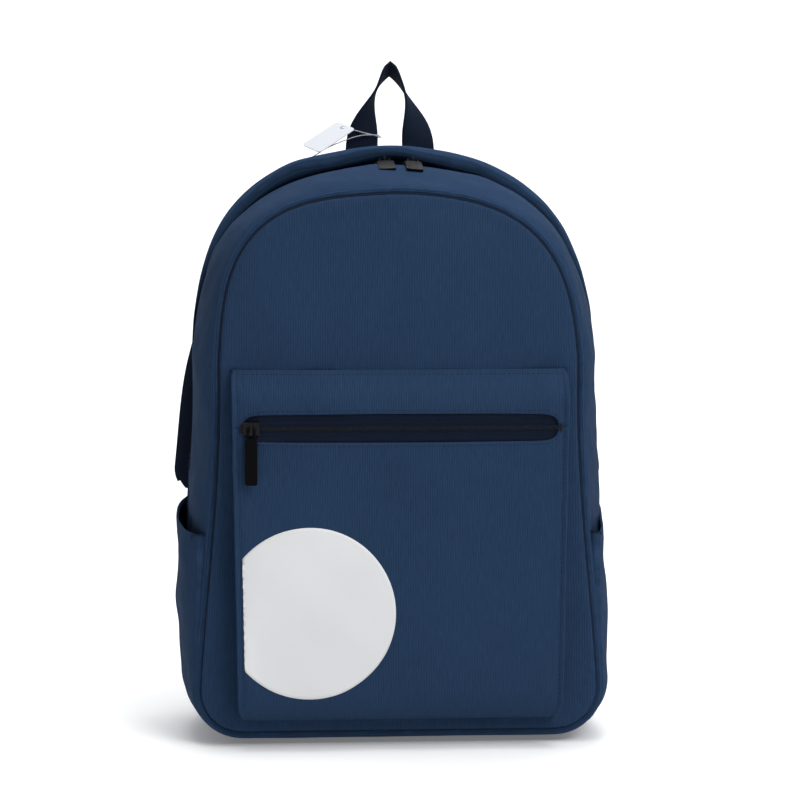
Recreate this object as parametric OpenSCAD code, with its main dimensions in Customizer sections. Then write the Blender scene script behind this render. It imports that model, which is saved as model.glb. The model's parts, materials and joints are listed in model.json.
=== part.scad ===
// School backpack: an arched daypack with a zipped main compartment, a zipped front pocket,
// two open side pockets, a carry loop and two padded shoulder straps.
// Millimetres. +Z is up, the front faces -Y, and the origin is the centre of the flat base.

/* [Body] */
// Outer radius of the arch at the main zip
arch_r = 150; // [140:1:160]
// Height of the arch's centre above the base
arch_z = 283; // [275:1:290]
// Depth position of the main zip
zip_y = 8; // [4:1:12]
// Depth position of the seam round the front panel
front_y = -62; // [-66:1:-58]
// Depth position of the seam round the back panel
rear_y = 58; // [55:1:60]
// How far the front seam is drawn in from the main zip's outline
front_draw = 17; // [14:1:18]
// How far the main zip's circle lies below the outline of the band behind it
zip_drop = 13; // [10:1:14]
// How far the rear seam is drawn in from the widest outline
rear_draw = 5; // [3:1:7]
// Extra half width near the base
low_spread = 4; // [2:1:6]
// How far the sides dip in half way down
waist = 4; // [2:1:5]
// Radius of the lower corners
corner_r = 40; // [38:1:44]
// Thickness of the lined and foam-backed fabric
wall_t = 3; // [2.5:0.1:3.2]
// Crown of the front panel above the pocket
dome = 8; // [6:1:10]
// Thickness of the padded back panel
back_t = 12; // [10:1:14]

/* [Front pocket] */
// Lower edge of the pocket
pocket_z0 = 18; // [16:1:20]
// Seam at the top of the pocket
pocket_z1 = 273; // [270:1:273]
// Half width of the pocket at its top
pocket_w1 = 120; // [116:1:122]
// Half width of the pocket at its bottom
pocket_w0 = 116; // [114:1:118]
// How far the pocket stands out beyond its edge seams
pocket_depth = 19; // [15:1:21]
// Height of the pocket zip's centre
pocket_zip_z = 233; // [231:1:235]
// Height of zip tape that shows
pocket_gap = 22; // [20:1:24]

/* [Webbing and straps] */
// Width of the carry loop's webbing
loop_w = 25; // [22:1:28]
// Height of the carry loop above its foot
loop_h = 67; // [60:1:72]
// Width of a shoulder strap's pad
pad_w = 63; // [58:1:64]
// Thickness of a shoulder strap's pad
pad_t = 11; // [9:1:12]
// Width of the adjusting webbing
web_w = 25; // [20:1:26]

/* [Side pockets] */
// Height of the hem at the back edge
hem_rear_z = 182; // [170:1:190]
// Height of the hem at the front edge
hem_front_z = 152; // [140:1:160]
// How far the hem stands off the side
hem_gape = 9; // [8:1:12]

/* [Hidden] */
$fn = 96;

// Gap between parts of different bodies, and between parts that only lie beside each other
gap = 0.4;
near = 0.2;
rear_seam_r = arch_r - rear_draw;
zip_centre_z = arch_z - zip_drop;
// Half the width between the two gusset edges beside the main zip
zip_half = 12;
tape_t = 1;
slit = 0.7;
row_w = 3;
row_h = 2.4;
back_y = rear_y + back_t;

// ---------------------------------------------------------------- meshes from points

function flat(rows) = [for (row = rows) for (p = row) p];
function two(a, b, c, d) = [[a, b, c], [a, c, d]];
function ease(t) = t * t * (3 - 2 * t);
function mix(a, b, t) = a + (b - a) * t;
function unit(v) = v / norm(v);
function mirrored(side, p) = [side * p.x, p.y, p.z];

// A closed solid between two equal grids of points: skin_a is on the outside, skin_b inside.
// flip turns the faces round where the grid runs the other way.
module sheet(skin_a, skin_b, flip = false) {
  rows = len(skin_a);
  cols = len(skin_a[0]);
  n = rows * cols;
  top = [for (i = [0 : rows - 2], j = [0 : cols - 2])
    each two(i * cols + j, i * cols + j + 1, (i + 1) * cols + j + 1, (i + 1) * cols + j)];
  under = [for (i = [0 : rows - 2], j = [0 : cols - 2])
    each two(n + i * cols + j, n + (i + 1) * cols + j, n + (i + 1) * cols + j + 1, n + i * cols + j + 1)];
  first = [for (j = [0 : cols - 2]) each two(j, n + j, n + j + 1, j + 1)];
  last_row = (rows - 1) * cols;
  last = [for (j = [last_row : last_row + cols - 2]) each two(j, j + 1, n + j + 1, n + j)];
  left = [for (i = [0 : rows - 2])
    each two(i * cols, (i + 1) * cols, n + (i + 1) * cols, n + i * cols)];
  right = [for (i = [1 : rows - 1])
    each two(i * cols - 1, n + i * cols - 1, n + (i + 1) * cols - 1, (i + 1) * cols - 1)];
  all = concat(top, under, first, last, left, right);
  polyhedron(
    points = concat(flat(skin_a), flat(skin_b)),
    faces = flip ? [for (f = all) [f[2], f[1], f[0]]] : all,
    convexity = 8
  );
}

// A solid swept through closed rings of points, with fan-shaped ends.
module sweep(rings, flip = false) {
  n = len(rings[0]);
  m = len(rings);
  around = [for (i = [0 : m - 2], j = [0 : n - 1])
    each two(i * n + j, i * n + (j + 1) % n, (i + 1) * n + (j + 1) % n, (i + 1) * n + j)];
  start = [for (j = [1 : n - 2]) [0, j + 1, j]];
  end = [for (j = [1 : n - 2]) [(m - 1) * n, (m - 1) * n + j, (m - 1) * n + j + 1]];
  all = concat(around, start, end);
  polyhedron(
    points = flat(rings),
    faces = flip ? [for (f = all) [f[2], f[1], f[0]]] : all,
    convexity = 6
  );
}

// Turns a profile drawn in (radius, depth) about an axis at height z, over the upper half circle.
module over_arch(z = arch_z) {
  translate([0, 0, z]) rotate([90, 0, 0]) mirror([0, 0, 1]) rotate_extrude(angle = 180) children();
}

// The same about the main zip's centre, cut off at the foot of the arch
module over_zip() {
  intersection() {
    over_arch(zip_centre_z) children();
    translate([-200, -100, arch_z]) cube([400, 200, 200]);
  }
}

// ---------------------------------------------------------------- the body's outline

// How far the outline is drawn in at depth y, for a draw-in of f at the front and r at the back
function drawn(y, f, r) = y < zip_y
  ? f * pow((zip_y - y) / (zip_y - front_y), 2)
  : r * pow((y - zip_y) / (rear_y - zip_y), 2);

function steps(a, b, n) = [for (i = [0 : n]) mix(a, b, i / n)];

// Stations down the side and round the lower corner: [x, z, normal x, normal z, front draw, rear draw]
low_x = arch_r + low_spread;
low_front = 6;
low_rear = 3;
function half_width(t) = arch_r + low_spread * t * t - waist * sin(180 * t);
// The second station is just above the front pocket, where the crown of the front panel starts.
crown_t = (arch_z - gap - pocket_z1 - 0.8) / (arch_z - gap - corner_r);
side_stations = [for (t = concat([0], steps(crown_t, 1, 11)))
  let (z = mix(arch_z - gap, corner_r, t), d = ease(t))
  [half_width(t), z, 1, 0, mix(front_draw, low_front, d), mix(rear_draw, low_rear, d)]];
corner_stations = [for (a = steps(9, 90, 9))
  [low_x - corner_r + corner_r * cos(a), corner_r - corner_r * sin(a), cos(a), -sin(a),
   low_front * cos(a), low_rear * cos(a)]];
stations = concat(side_stations, corner_stations);

function on_wall(s, y, depth) =
  let (d = drawn(y, s[4], s[5]) + depth) [s[0] - d * s[2], y, s[1] - d * s[3]];

// ---------------------------------------------------------------- main shell

module front_panel_upper() {
  rim = arch_r - front_draw - wall_t - near;
  rs = steps(0, rim, 14);
  face = [for (r = rs) [r, front_y - dome * (1 - pow(r / rim, 2))]];
  inside = [for (i = [len(rs) - 1 : -1 : 0]) face[i] + [0, wall_t]];
  color("steelblue") over_zip() polygon(concat(face, inside));
}

module front_gusset() {
  ys = steps(front_y, zip_y - zip_half, 10);
  outer = [for (y = ys) [arch_r - drawn(y, front_draw, rear_draw), y]];
  inner = [for (i = [len(ys) - 1 : -1 : 0]) outer[i] - [wall_t, 0]];
  color("royalblue") over_zip() polygon(concat(outer, inner));
}

module front_binding_upper() {
  r = arch_r - front_draw - wall_t - 1;
  y = front_y + wall_t + near;
  color("black") over_zip() polygon([[r - 8, y], [r - 8, y + 1.8], [r, y + 1.8], [r, y]]);
}

module front_panel_lower() {
  us = steps(-1, 1, 16);
  edge = [for (s = stations) on_wall(s, front_y, wall_t + near)];
  crown = [for (e = edge) dome * max(0, (e.z - pocket_z1 - 0.8) / (arch_z - gap - pocket_z1 - 0.8))];
  face = [for (i = [0 : len(edge) - 1])
    [for (u = us) [edge[i].x * u, front_y - crown[i] * (1 - u * u), edge[i].z]]];
  inside = [for (row = face) [for (p = row) p + [0, wall_t, 0]]];
  color("steelblue") sheet(face, inside);
}

module front_binding_lower() {
  color("black") for (side = [-1, 1]) {
    line = [for (s = stations) mirrored(side, on_wall(s, front_y, wall_t + near + 0.8))];
    inward = [for (s = stations) mirrored(side, on_wall(s, front_y, wall_t + near + 8.8))];
    y0 = wall_t + near;
    y1 = wall_t + 2;
    sheet(
      [for (i = [0 : len(line) - 1]) [line[i] + [0, y1, 0], inward[i] + [0, y1, 0]]],
      [for (i = [0 : len(line) - 1]) [line[i] + [0, y0, 0], inward[i] + [0, y0, 0]]],
      flip = side < 0
    );
  }
}

module rear_gusset() {
  ys = steps(zip_y + zip_half, rear_y, 6);
  outer = [for (y = ys) [arch_r - drawn(y, front_draw, rear_draw), y]];
  inner = [for (i = [len(ys) - 1 : -1 : 0]) outer[i] - [wall_t, 0]];
  // the band's front edge turns down to the zip, which lies lower than the band at the top
  color("royalblue") {
    over_arch() polygon(concat(outer, inner));
    intersection() {
      translate([0, zip_y + zip_half, 0]) rotate([90, 0, 0]) mirror([0, 0, 1]) linear_extrude(2) difference() {
        translate([0, arch_z]) circle(r = arch_r - 1);
        translate([0, zip_centre_z]) circle(r = tape_r - tape_t);
      }
      translate([-200, -100, arch_z]) cube([400, 200, 200]);
    }
  }
}

module side_panel(side) {
  ys = concat(steps(front_y, zip_y, 8), steps(zip_y + 12, rear_y, 3));
  outer = [for (s = stations) [for (y = ys) mirrored(side, on_wall(s, y, 0))]];
  inner = [for (s = stations) [for (y = ys) mirrored(side, on_wall(s, y, wall_t))]];
  color("royalblue") sheet(outer, inner, flip = side < 0);
}

module base_panel() {
  half = low_x - corner_r - near;
  color("midnightblue") translate([-half, front_y, 0]) cube([2 * half, rear_y - front_y, wall_t]);
}

module back_outline(inset) {
  edge = [for (s = stations) on_wall(s, rear_y, inset)];
  translate([0, arch_z]) intersection() {
    circle(r = rear_seam_r - inset);
    translate([-arch_r, -1]) square([2 * arch_r, 2 * arch_r]);
  }
  polygon(concat([for (p = edge) [p.x, p.z]], [for (i = [len(edge) - 1 : -1 : 0]) [-edge[i].x, edge[i].z]]));
}

module back_panel() {
  color("navy") translate([0, back_y, 0]) rotate([90, 0, 0]) linear_extrude(back_t - near) back_outline(0);
}

module back_board() {
  board_t = 2;
  color("gray") translate([0, rear_y, 0]) rotate([90, 0, 0]) linear_extrude(board_t) back_outline(wall_t + 6);
}

module rear_binding() {
  y1 = rear_y - near;
  color("black") {
    over_arch() polygon([[rear_seam_r - wall_t - 5.5, y1 - 1.8], [rear_seam_r - wall_t - 0.3, y1 - 1.8],
      [rear_seam_r - wall_t - 0.3, y1], [rear_seam_r - wall_t - 5.5, y1]]);
    for (side = [-1, 1]) {
      line = [for (s = stations) mirrored(side, on_wall(s, rear_y, wall_t + 0.3))];
      inward = [for (s = stations) mirrored(side, on_wall(s, rear_y, wall_t + 5.5))];
      sheet(
        [for (i = [0 : len(line) - 1]) [line[i] - [0, near, 0], inward[i] - [0, near, 0]]],
        [for (i = [0 : len(line) - 1]) [line[i] - [0, 2, 0], inward[i] - [0, 2, 0]]],
        flip = side < 0
      );
    }
  }
}

// ---------------------------------------------------------------- main zip

tape_r = arch_r - wall_t + near;

// One side of the zip: its tape and its row of teeth, from the middle slit outwards
module zip_side_profile(way) {
  tape_far = zip_half - near;
  y_a = zip_y + way * slit;
  y_b = zip_y + way * tape_far;
  translate([tape_r - tape_t, min(y_a, y_b)]) square([tape_t, tape_far - slit]);
  translate([tape_r, way > 0 ? y_a : y_a - row_w]) square([row_h, row_w]);
}

module main_zip_front() {
  color("black") over_zip() zip_side_profile(-1);
}

module main_zip_rear() {
  color("black") over_zip() zip_side_profile(1);
}

// The stops at both ends of one side's row of teeth
module zip_ends(way) {
  arc = 1.4;
  foot = asin(zip_drop / (tape_r + row_h)) + 0.2;
  lift = 0.1;
  y_a = zip_y + (way > 0 ? slit + lift : -slit - lift - row_w);
  color("dimgray") for (turn = [foot, 180 - foot - arc])
    translate([0, 0, zip_centre_z]) rotate([0, -turn, 0]) rotate([90, 0, 0]) mirror([0, 0, 1])
      rotate_extrude(angle = arc) translate([tape_r + row_h + lift, y_a]) square([1.2, row_w]);
}

// ---------------------------------------------------------------- sliders and pullers

rim_r = 0.9;
rim_lift = 2.2;
plate_t = 1.6;

// A slider whose zip runs along X under it. z = 0 is the teeth's outer face.
// rear_side false leaves the far side open, so that the far row can part from it.
module slider(half_len, half_w, rear_side) {
  lift = 0.5;
  skirt = row_h + lift - 0.5;
  deep = row_h + tape_t + lift + 1.5;
  translate([-half_len, -half_w, lift]) cube([2 * half_len, 2 * half_w, plate_t]);
  translate([-half_len, -half_w, lift - skirt]) cube([2 * half_len, 0.8, skirt]);
  if (rear_side) translate([-half_len, half_w - 0.8, lift - skirt]) cube([2 * half_len, 0.8, skirt]);
  translate([-2.5, -0.35, -deep]) cube([5, 0.7, deep + lift]);
  translate([-half_len, -half_w, -deep])
    cube([2 * half_len, (rear_side ? 2 * half_w : half_w + 0.35), 1.4]);
  // the bridge that the puller's rim passes under
  top = lift + plate_t;
  under = rim_lift + rim_r + 0.3;
  for (side = [-1, 1]) translate([-0.8, side * 3.3 - 0.6, top]) cube([1.6, 1.2, under]);
  translate([-0.8, -3.9, top + under]) cube([1.6, 7.8, 1]);
}

// Height of the puller's rim over the teeth's outer face
rim_z = 0.5 + plate_t + rim_lift;

// A flat pull tab, pointing along -Y, whose round rim lies along X through the origin.
// The slider's bridge passes through the window beside the rim.
module puller(width, neck, length) {
  t = 2 * rim_r;
  r = 2;
  translate([-neck / 2, 0, 0]) rotate([0, 90, 0]) cylinder(r = rim_r, h = neck, $fn = 32);
  translate([0, 0, -t / 2]) linear_extrude(t) difference() {
    union() {
      translate([-neck / 2, -9]) square([neck, 9]);
      translate([-width / 2, -length + r]) square([width, length - r - 8]);
      translate([-width / 2 + r, -length]) square([width - 2 * r, length - 8]);
      for (s = [-1, 1]) translate([s * (width / 2 - r), -length + r]) circle(r = r, $fn = 32);
    }
    translate([-neck / 2 + 1.5, -6.4]) square([neck - 3, 6.4 - rim_r]);
  }
}

main_half_len = 7.5;
main_half_w = 5;
rest_angle = [-2.6, 5.2];
puller_droop = 11;

module at_arch(angle) {
  translate([0, zip_y, zip_centre_z]) rotate([0, angle, 0]) translate([0, 0, tape_r + row_h]) children();
}

module main_slider(side) {
  color("dimgray") at_arch(rest_angle[side > 0 ? 1 : 0]) slider(main_half_len, main_half_w, false);
}

module main_puller(side) {
  color("black") at_arch(rest_angle[side > 0 ? 1 : 0])
    translate([0, 0, rim_z]) rotate([puller_droop, 0, 0]) puller(12.5, 9, 38);
}

// ---------------------------------------------------------------- front pocket

rim_y = front_y - 4;
face_y = rim_y - pocket_depth;
gap_lo = pocket_zip_z - pocket_gap / 2;
gap_hi = pocket_zip_z + pocket_gap / 2;

function pocket_half(z) = mix(pocket_w0, pocket_w1, (z - pocket_z0) / (pocket_z1 - pocket_z0));
function side_round(u) = abs(u) < 0.95 ? 1 : 1 - pow((abs(u) - 0.95) / 0.05, 2);
function rise(z) = z < pocket_z0 + 27 ? 1 - pow((pocket_z0 + 27 - z) / 27, 2)
  : z > gap_hi ? (pocket_z1 - z) / (pocket_z1 - gap_hi) : 1;
function pocket_y(u, z) = rim_y - pocket_depth * side_round(u) * rise(z);
pocket_us = concat(steps(-1, -0.95, 4), steps(-0.7, 0.7, 4), steps(0.95, 1, 4));

module pocket_skin(zs, inset, thickness) {
  face = [for (z = zs) [for (u = pocket_us) [pocket_half(z) * u, pocket_y(u, z) + inset, z]]];
  inside = [for (row = face) [for (p = row) p + [0, thickness, 0]]];
  sheet(face, inside, flip = true);
}

module pocket_face() {
  color("steelblue") pocket_skin(concat(steps(pocket_z0, pocket_z0 + 27, 5), steps(80, gap_lo, 3)), 0, 2);
}

module pocket_top_strip() {
  color("cornflowerblue") pocket_skin(steps(gap_hi, pocket_z1, 4), 0, 2);
}

module pocket_zip_tape() {
  color("black") {
    pocket_skin([gap_lo + near, pocket_zip_z - slit], 1, tape_t);
    pocket_skin([pocket_zip_z + slit, gap_hi - near], 1, tape_t);
  }
}

module pocket_zip_coil() {
  half = 0.95 * pocket_half(pocket_zip_z);
  color("dimgray") for (way = [-1, 1])
    translate([-half, face_y + 1 - row_h, pocket_zip_z + (way > 0 ? slit : -slit - row_w)])
      cube([2 * half, row_h, row_w]);
}

module pocket_zip_stops() {
  half = 0.95 * pocket_half(pocket_zip_z);
  color("dimgray") for (s = [-1, 1])
    translate([s * (half + 1) - 0.8, face_y + 1 - row_h, pocket_zip_z - 3]) cube([1.6, row_h, 6]);
}

module pocket_gusset() {
  t = 2;
  y0 = rim_y + 2 + near;
  deep = front_y - near - y0;
  // each side wall leans with the pocket's edge
  color("steelblue") {
    for (side = [-1, 1]) {
      zs = [pocket_z0 + t + near, pocket_z1];
      outer = [for (z = zs) [for (y = [y0, y0 + deep]) mirrored(side, [pocket_half(z), y, z])]];
      inner = [for (z = zs) [for (y = [y0, y0 + deep]) mirrored(side, [pocket_half(z) - t, y, z])]];
      sheet(outer, inner, flip = side > 0);
    }
    translate([-pocket_w0, y0, pocket_z0]) cube([2 * pocket_w0, deep, t]);
    translate([-pocket_w1 + t + near, y0, pocket_z1 - t]) cube([2 * (pocket_w1 - t - near), deep, t]);
  }
}

pocket_slider_x = -107;
pocket_half_len = 6;
pocket_half_w = 4.6;

module at_pocket_zip() {
  translate([pocket_slider_x, face_y + 1 - row_h, pocket_zip_z]) rotate([90, 0, 0]) children();
}

module pocket_slider() {
  color("black") at_pocket_zip() slider(pocket_half_len, pocket_half_w, true);
}

module pocket_puller() {
  color("black") at_pocket_zip() translate([0, 0, rim_z]) puller(9, 6.4, 40);
}

// A plain round print, cut off by the pocket's side seam
print_x = -66;
print_z = 100;
print_r = 62;
module pocket_print() {
  film = 0.3;
  chord = steps(0, 1, 12);
  zs = [for (a = steps(-88, 88, 22)) print_z + print_r * sin(a)];
  left = -0.95;
  lift = 0.5;
  face = [for (z = zs)
    let (w = sqrt(pow(print_r, 2) - pow(z - print_z, 2)), h = pocket_half(z),
      u0 = max(left, (print_x - w) / h), u1 = (print_x + w) / h)
    [for (c = chord) let (u = mix(u0, u1, c * c)) [h * u, pocket_y(u, z) - lift - film, z]]];
  color("white") sheet(face, [for (row = face) [for (p = row) p + [0, film, 0]]], flip = true);
}

// ---------------------------------------------------------------- side pockets

pocket_y0 = -58;
pocket_y1 = 55;
side_base_z = 44;

function side_out(y, z) =
  let (t = (arch_z - gap - z) / (arch_z - gap - corner_r), d = ease(t))
  half_width(t) - drawn(y, mix(front_draw, low_front, d), mix(rear_draw, low_rear, d));
function hem_z(y) = mix(hem_front_z, hem_rear_z, ease((y - pocket_y0) / (pocket_y1 - pocket_y0)));
function gape(y, k) = 0.5 + hem_gape * pow(k, 0.8) * (1 - pow(2 * (y - pocket_y0) / (pocket_y1 - pocket_y0) - 1, 4));

function side_pocket_point(side, y, k, out) =
  let (z = mix(side_base_z, hem_z(y), k)) [side * (side_out(y, z) + gape(y, k) + out), y, z];

module side_pocket(side) {
  t = 2;
  ys = steps(pocket_y0, pocket_y1, 14);
  ks = steps(0, 0.95, 6);
  color("mediumblue") sheet(
    [for (k = ks) [for (y = ys) side_pocket_point(side, y, k, t)]],
    [for (k = ks) [for (y = ys) side_pocket_point(side, y, k, 0)]],
    flip = side > 0
  );
}

module side_pocket_hem(side) {
  ys = steps(pocket_y0, pocket_y1, 14);
  ks = [0.953, 1];
  color("darkblue") sheet(
    [for (k = ks) [for (y = ys) side_pocket_point(side, y, k, 3)]],
    [for (k = ks) [for (y = ys) side_pocket_point(side, y, k, 0)]],
    flip = side > 0
  );
}

// ---------------------------------------------------------------- inside

sleeve_y = 40;
sleeve_t = 4;
sleeve_half = 122;
sleeve_top = 305;
sleeve_foot = 24;
board_y = rear_y - 2;

module laptop_sleeve() {
  color("slategray") translate([-sleeve_half, sleeve_y, sleeve_foot])
    cube([2 * sleeve_half, sleeve_t, sleeve_top - sleeve_foot]);
}

module sleeve_gusset() {
  y0 = sleeve_y + sleeve_t;
  deep = board_y - near - y0;
  color("slategray") {
    for (s = [-1, 1]) translate([s * (sleeve_half - 1.5) - 1.5, y0, sleeve_foot + 3])
      cube([3, deep, sleeve_top - 14 - sleeve_foot]);
    translate([-sleeve_half, y0, sleeve_foot]) cube([2 * sleeve_half, deep, 3]);
  }
}

module sleeve_binding() {
  color("black") translate([-sleeve_half, sleeve_y - 1, sleeve_top]) cube([2 * sleeve_half, sleeve_t + 2, 3]);
}

// ---------------------------------------------------------------- carry loop and straps

loop_foot_z = arch_z + rear_seam_r + 2;
loop_x = 21.5;
loop_y = rear_y + 4;
loop_t = 2;

// The loop's centre line: two legs that lean together and a tight bend at the top
function loop_point(t) =
  let (a = 1 - abs(t)) [sign(t) * loop_x * pow(1 - pow(a, 1.7), 0.9), loop_y, loop_foot_z + loop_h * mix(a, sin(90 * a), 0.5)];
function loop_turn(t) = 90 * ease(min(1, (1 - abs(t)) * 1.3));

module carry_loop() {
  ts = steps(-1, 1, 36);
  rings = [for (t = ts)
    let (p = loop_point(t),
      ahead = unit(loop_point(min(1, t + 0.02)) - loop_point(max(-1, t - 0.02))),
      turn = loop_turn(t),
      across = unit([cos(turn), sin(turn), 0] - ([cos(turn), sin(turn), 0] * ahead) * ahead),
      w = across * mix(loop_w, loop_w * 0.8, sin(turn)) / 2,
      n = unit(cross(across, ahead)) * loop_t / 2)
    [p - w - n, p + w - n, p + w + n, p - w + n]];
  color("black") sweep(rings, flip = true);
}

// A blank card that hangs in front of the loop's left leg, and the thin moulded loop that holds it
module hang_tag() {
  long = 40;
  high = 18.7;
  r = 3;
  color("white") translate([-47, 46, 441]) rotate([201, -26.7, 39.4]) linear_extrude(0.6) difference() {
    union() {
      translate([-long / 2 + r, -high / 2]) square([long - 2 * r, high]);
      translate([-long / 2, -high / 2 + r]) square([long, high - 2 * r]);
      for (x = [-1, 1], y = [-1, 1]) translate([x * (long / 2 - r), y * (high / 2 - r)]) circle(r = r, $fn = 32);
    }
    translate([long / 2 - 4.5, 0]) circle(r = 1.8, $fn = 32);
  }
}

module stadium(long, r) {
  square([long, 2 * r], center = true);
  for (s = [-1, 1]) translate([s * long / 2, 0]) circle(r = r, $fn = 32);
}

module tag_loop() {
  color("white") translate([-loop_x, loop_y - 1.4, 439]) linear_extrude(1) difference() {
    stadium(21, 6);
    stadium(21, 5);
  }
}

module yoke_patch() {
  color("navy") translate([-70, back_y + near, 372]) cube([140, 1.6, 28]);
}

foot_anchor = [133, back_y + 3, 50];
strap_0 = [44, back_y + 8.5, 386];
strap_1 = [110, back_y + 26, 362];
strap_2 = [150, back_y + 38, 285];
strap_3 = [133, back_y + 18, 182];
strap_split = 0.46;

function strap_point(t) =
  pow(1 - t, 3) * strap_0 + 3 * pow(1 - t, 2) * t * strap_1 + 3 * (1 - t) * t * t * strap_2 + pow(t, 3) * strap_3;

function pad_ring(side, t) =
  let (p = strap_point(t), ahead = unit(strap_point(t + 0.01) - strap_point(t - 0.01)),
    across = unit(cross(ahead, [0, 1, 0])), out = unit(cross(across, ahead)),
    w = mix(pad_w, pad_w * 0.82, ease(max(0, (t - 0.7) / 0.3))) / 2, h = pad_t / 2)
  [for (a = [0 : 30 : 330])
    let (c = cos(a), s = sin(a))
    mirrored(side, p + across * w * sign(c) * pow(abs(c), 0.35) + out * h * sign(s) * pow(abs(s), 0.6))];

module strap_top(side) {
  color("navy") sweep([for (t = steps(0, strap_split - 0.006, 9)) pad_ring(side, t)], flip = side > 0);
}

module strap_pad(side) {
  color("navy") sweep([for (t = steps(strap_split, 1, 12)) pad_ring(side, t)], flip = side > 0);
}

lock_top = strap_3 - [0, 0, 5];
lock_h = 26;
lock_w = 33;
module ladder_lock(side) {
  color("black") translate(mirrored(side, lock_top - [0, 2.5, lock_h])) rotate([90, 0, 0]) mirror([0, 0, 1])
    linear_extrude(5) difference() {
      translate([-lock_w / 2, 0]) square([lock_w, lock_h]);
      for (z = [4, 14]) translate([-lock_w / 2 + 3, z]) square([lock_w - 6, 6]);
    }
}

// Straight lengths of webbing: the one that takes the load, and the loose tail behind it
module ribbon(side, a, b, w, t) {
  across = [w / 2, 0, 0];
  thick = [0, t / 2, 0];
  sweep([for (p = [a, b]) [for (q = [p - across - thick, p + across - thick, p + across + thick, p - across + thick])
    mirrored(side, q)]], flip = side < 0);
}

web_low = foot_anchor + [0, 1.2, 12];
module strap_webbing(side) {
  low = lock_top - [0, 0, lock_h + 0.3];
  color("black") {
    ribbon(side, web_low, low, web_w, 1.6);
    ribbon(side, low + [-2, 8, -85], low + [0, 4, 0], web_w, 1.6);
  }
}

module strap_tab(side) {
  x = side * foot_anchor.x;
  color("navy") translate([x, back_y + near, 0]) rotate([90, 0, 0]) mirror([0, 0, 1]) linear_extrude(2.4)
    polygon([[-15, 24], [15, 24], [13, 58], [-13, 58]]);
}

front_panel_upper();
front_gusset();
main_zip_front();
front_binding_upper();
main_slider(-1);  // main_slider_left
main_slider(1);  // main_slider_right
main_puller(-1);  // main_puller_left
main_puller(1);  // main_puller_right
rear_gusset();
main_zip_rear();
zip_ends(-1);  // zip_ends_front
zip_ends(1);  // zip_ends_rear
rear_binding();
front_panel_lower();
front_binding_lower();
side_panel(-1);  // side_panel_left
side_panel(1);  // side_panel_right
base_panel();
back_panel();
back_board();
laptop_sleeve();
sleeve_gusset();
sleeve_binding();
pocket_face();
pocket_top_strip();
pocket_gusset();
pocket_zip_tape();
pocket_zip_coil();
pocket_zip_stops();
pocket_slider();
pocket_puller();
pocket_print();
side_pocket(-1);  // side_pocket_left
side_pocket(1);  // side_pocket_right
side_pocket_hem(-1);  // side_pocket_hem_left
side_pocket_hem(1);  // side_pocket_hem_right
carry_loop();
hang_tag();
tag_loop();
yoke_patch();
strap_top(-1);  // strap_top_left
strap_top(1);  // strap_top_right
strap_pad(-1);  // strap_pad_left
strap_pad(1);  // strap_pad_right
ladder_lock(-1);  // ladder_lock_left
ladder_lock(1);  // ladder_lock_right
strap_webbing(-1);  // strap_webbing_left
strap_webbing(1);  // strap_webbing_right
strap_tab(-1);  // strap_tab_left
strap_tab(1);  // strap_tab_right
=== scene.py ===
# %% [markdown]
# # School backpack
# An arched daypack of ribbed navy cloth, sewn from a few large panels: a domed front panel, a curved
# band on each side of the main zip, a padded back, and pockets laid over them. It could be sculpted
# as one lump, but real bags show their seams, so each panel is made as its own sheet. All the sheets
# follow one outline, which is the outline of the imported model, so the soft shapes stay in the space
# that the solids hold.

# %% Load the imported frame
import json
import bmesh
import bpy
import numpy as np
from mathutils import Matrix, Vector


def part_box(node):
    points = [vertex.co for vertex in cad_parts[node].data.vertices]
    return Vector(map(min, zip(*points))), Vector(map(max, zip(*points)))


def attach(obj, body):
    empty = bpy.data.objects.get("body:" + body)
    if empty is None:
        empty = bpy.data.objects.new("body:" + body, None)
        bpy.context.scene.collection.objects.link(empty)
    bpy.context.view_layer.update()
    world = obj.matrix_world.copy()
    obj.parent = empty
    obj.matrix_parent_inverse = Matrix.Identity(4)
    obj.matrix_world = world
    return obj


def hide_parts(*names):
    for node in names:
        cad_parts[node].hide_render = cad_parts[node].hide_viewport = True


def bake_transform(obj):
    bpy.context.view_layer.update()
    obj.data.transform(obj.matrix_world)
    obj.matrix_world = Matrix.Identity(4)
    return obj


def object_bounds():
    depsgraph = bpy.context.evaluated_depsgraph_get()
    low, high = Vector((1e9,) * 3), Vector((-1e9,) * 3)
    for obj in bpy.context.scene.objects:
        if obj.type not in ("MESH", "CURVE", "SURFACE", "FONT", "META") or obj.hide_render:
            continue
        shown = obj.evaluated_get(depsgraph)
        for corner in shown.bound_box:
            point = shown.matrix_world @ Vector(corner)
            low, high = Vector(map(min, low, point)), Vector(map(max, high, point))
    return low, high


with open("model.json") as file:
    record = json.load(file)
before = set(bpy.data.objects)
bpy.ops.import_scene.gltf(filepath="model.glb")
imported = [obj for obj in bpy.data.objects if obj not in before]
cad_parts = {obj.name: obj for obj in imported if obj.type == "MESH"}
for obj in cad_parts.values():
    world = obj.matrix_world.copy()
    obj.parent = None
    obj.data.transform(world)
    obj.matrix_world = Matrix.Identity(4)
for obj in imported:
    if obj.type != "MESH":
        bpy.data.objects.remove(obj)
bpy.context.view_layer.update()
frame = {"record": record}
joints = {j["name"]: j for j in frame["record"]["behaviour"]["joints"]}
MM = 0.001
tau = 2 * np.pi

# %% [markdown]
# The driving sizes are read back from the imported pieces: the arch from the band behind the zip, the
# zip's circle from the joint that its sliders run on, and the depths of the seams from the bands.
# They could be typed in again, but then the cloth would come loose from the solids as soon as one of
# them changed.

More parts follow.
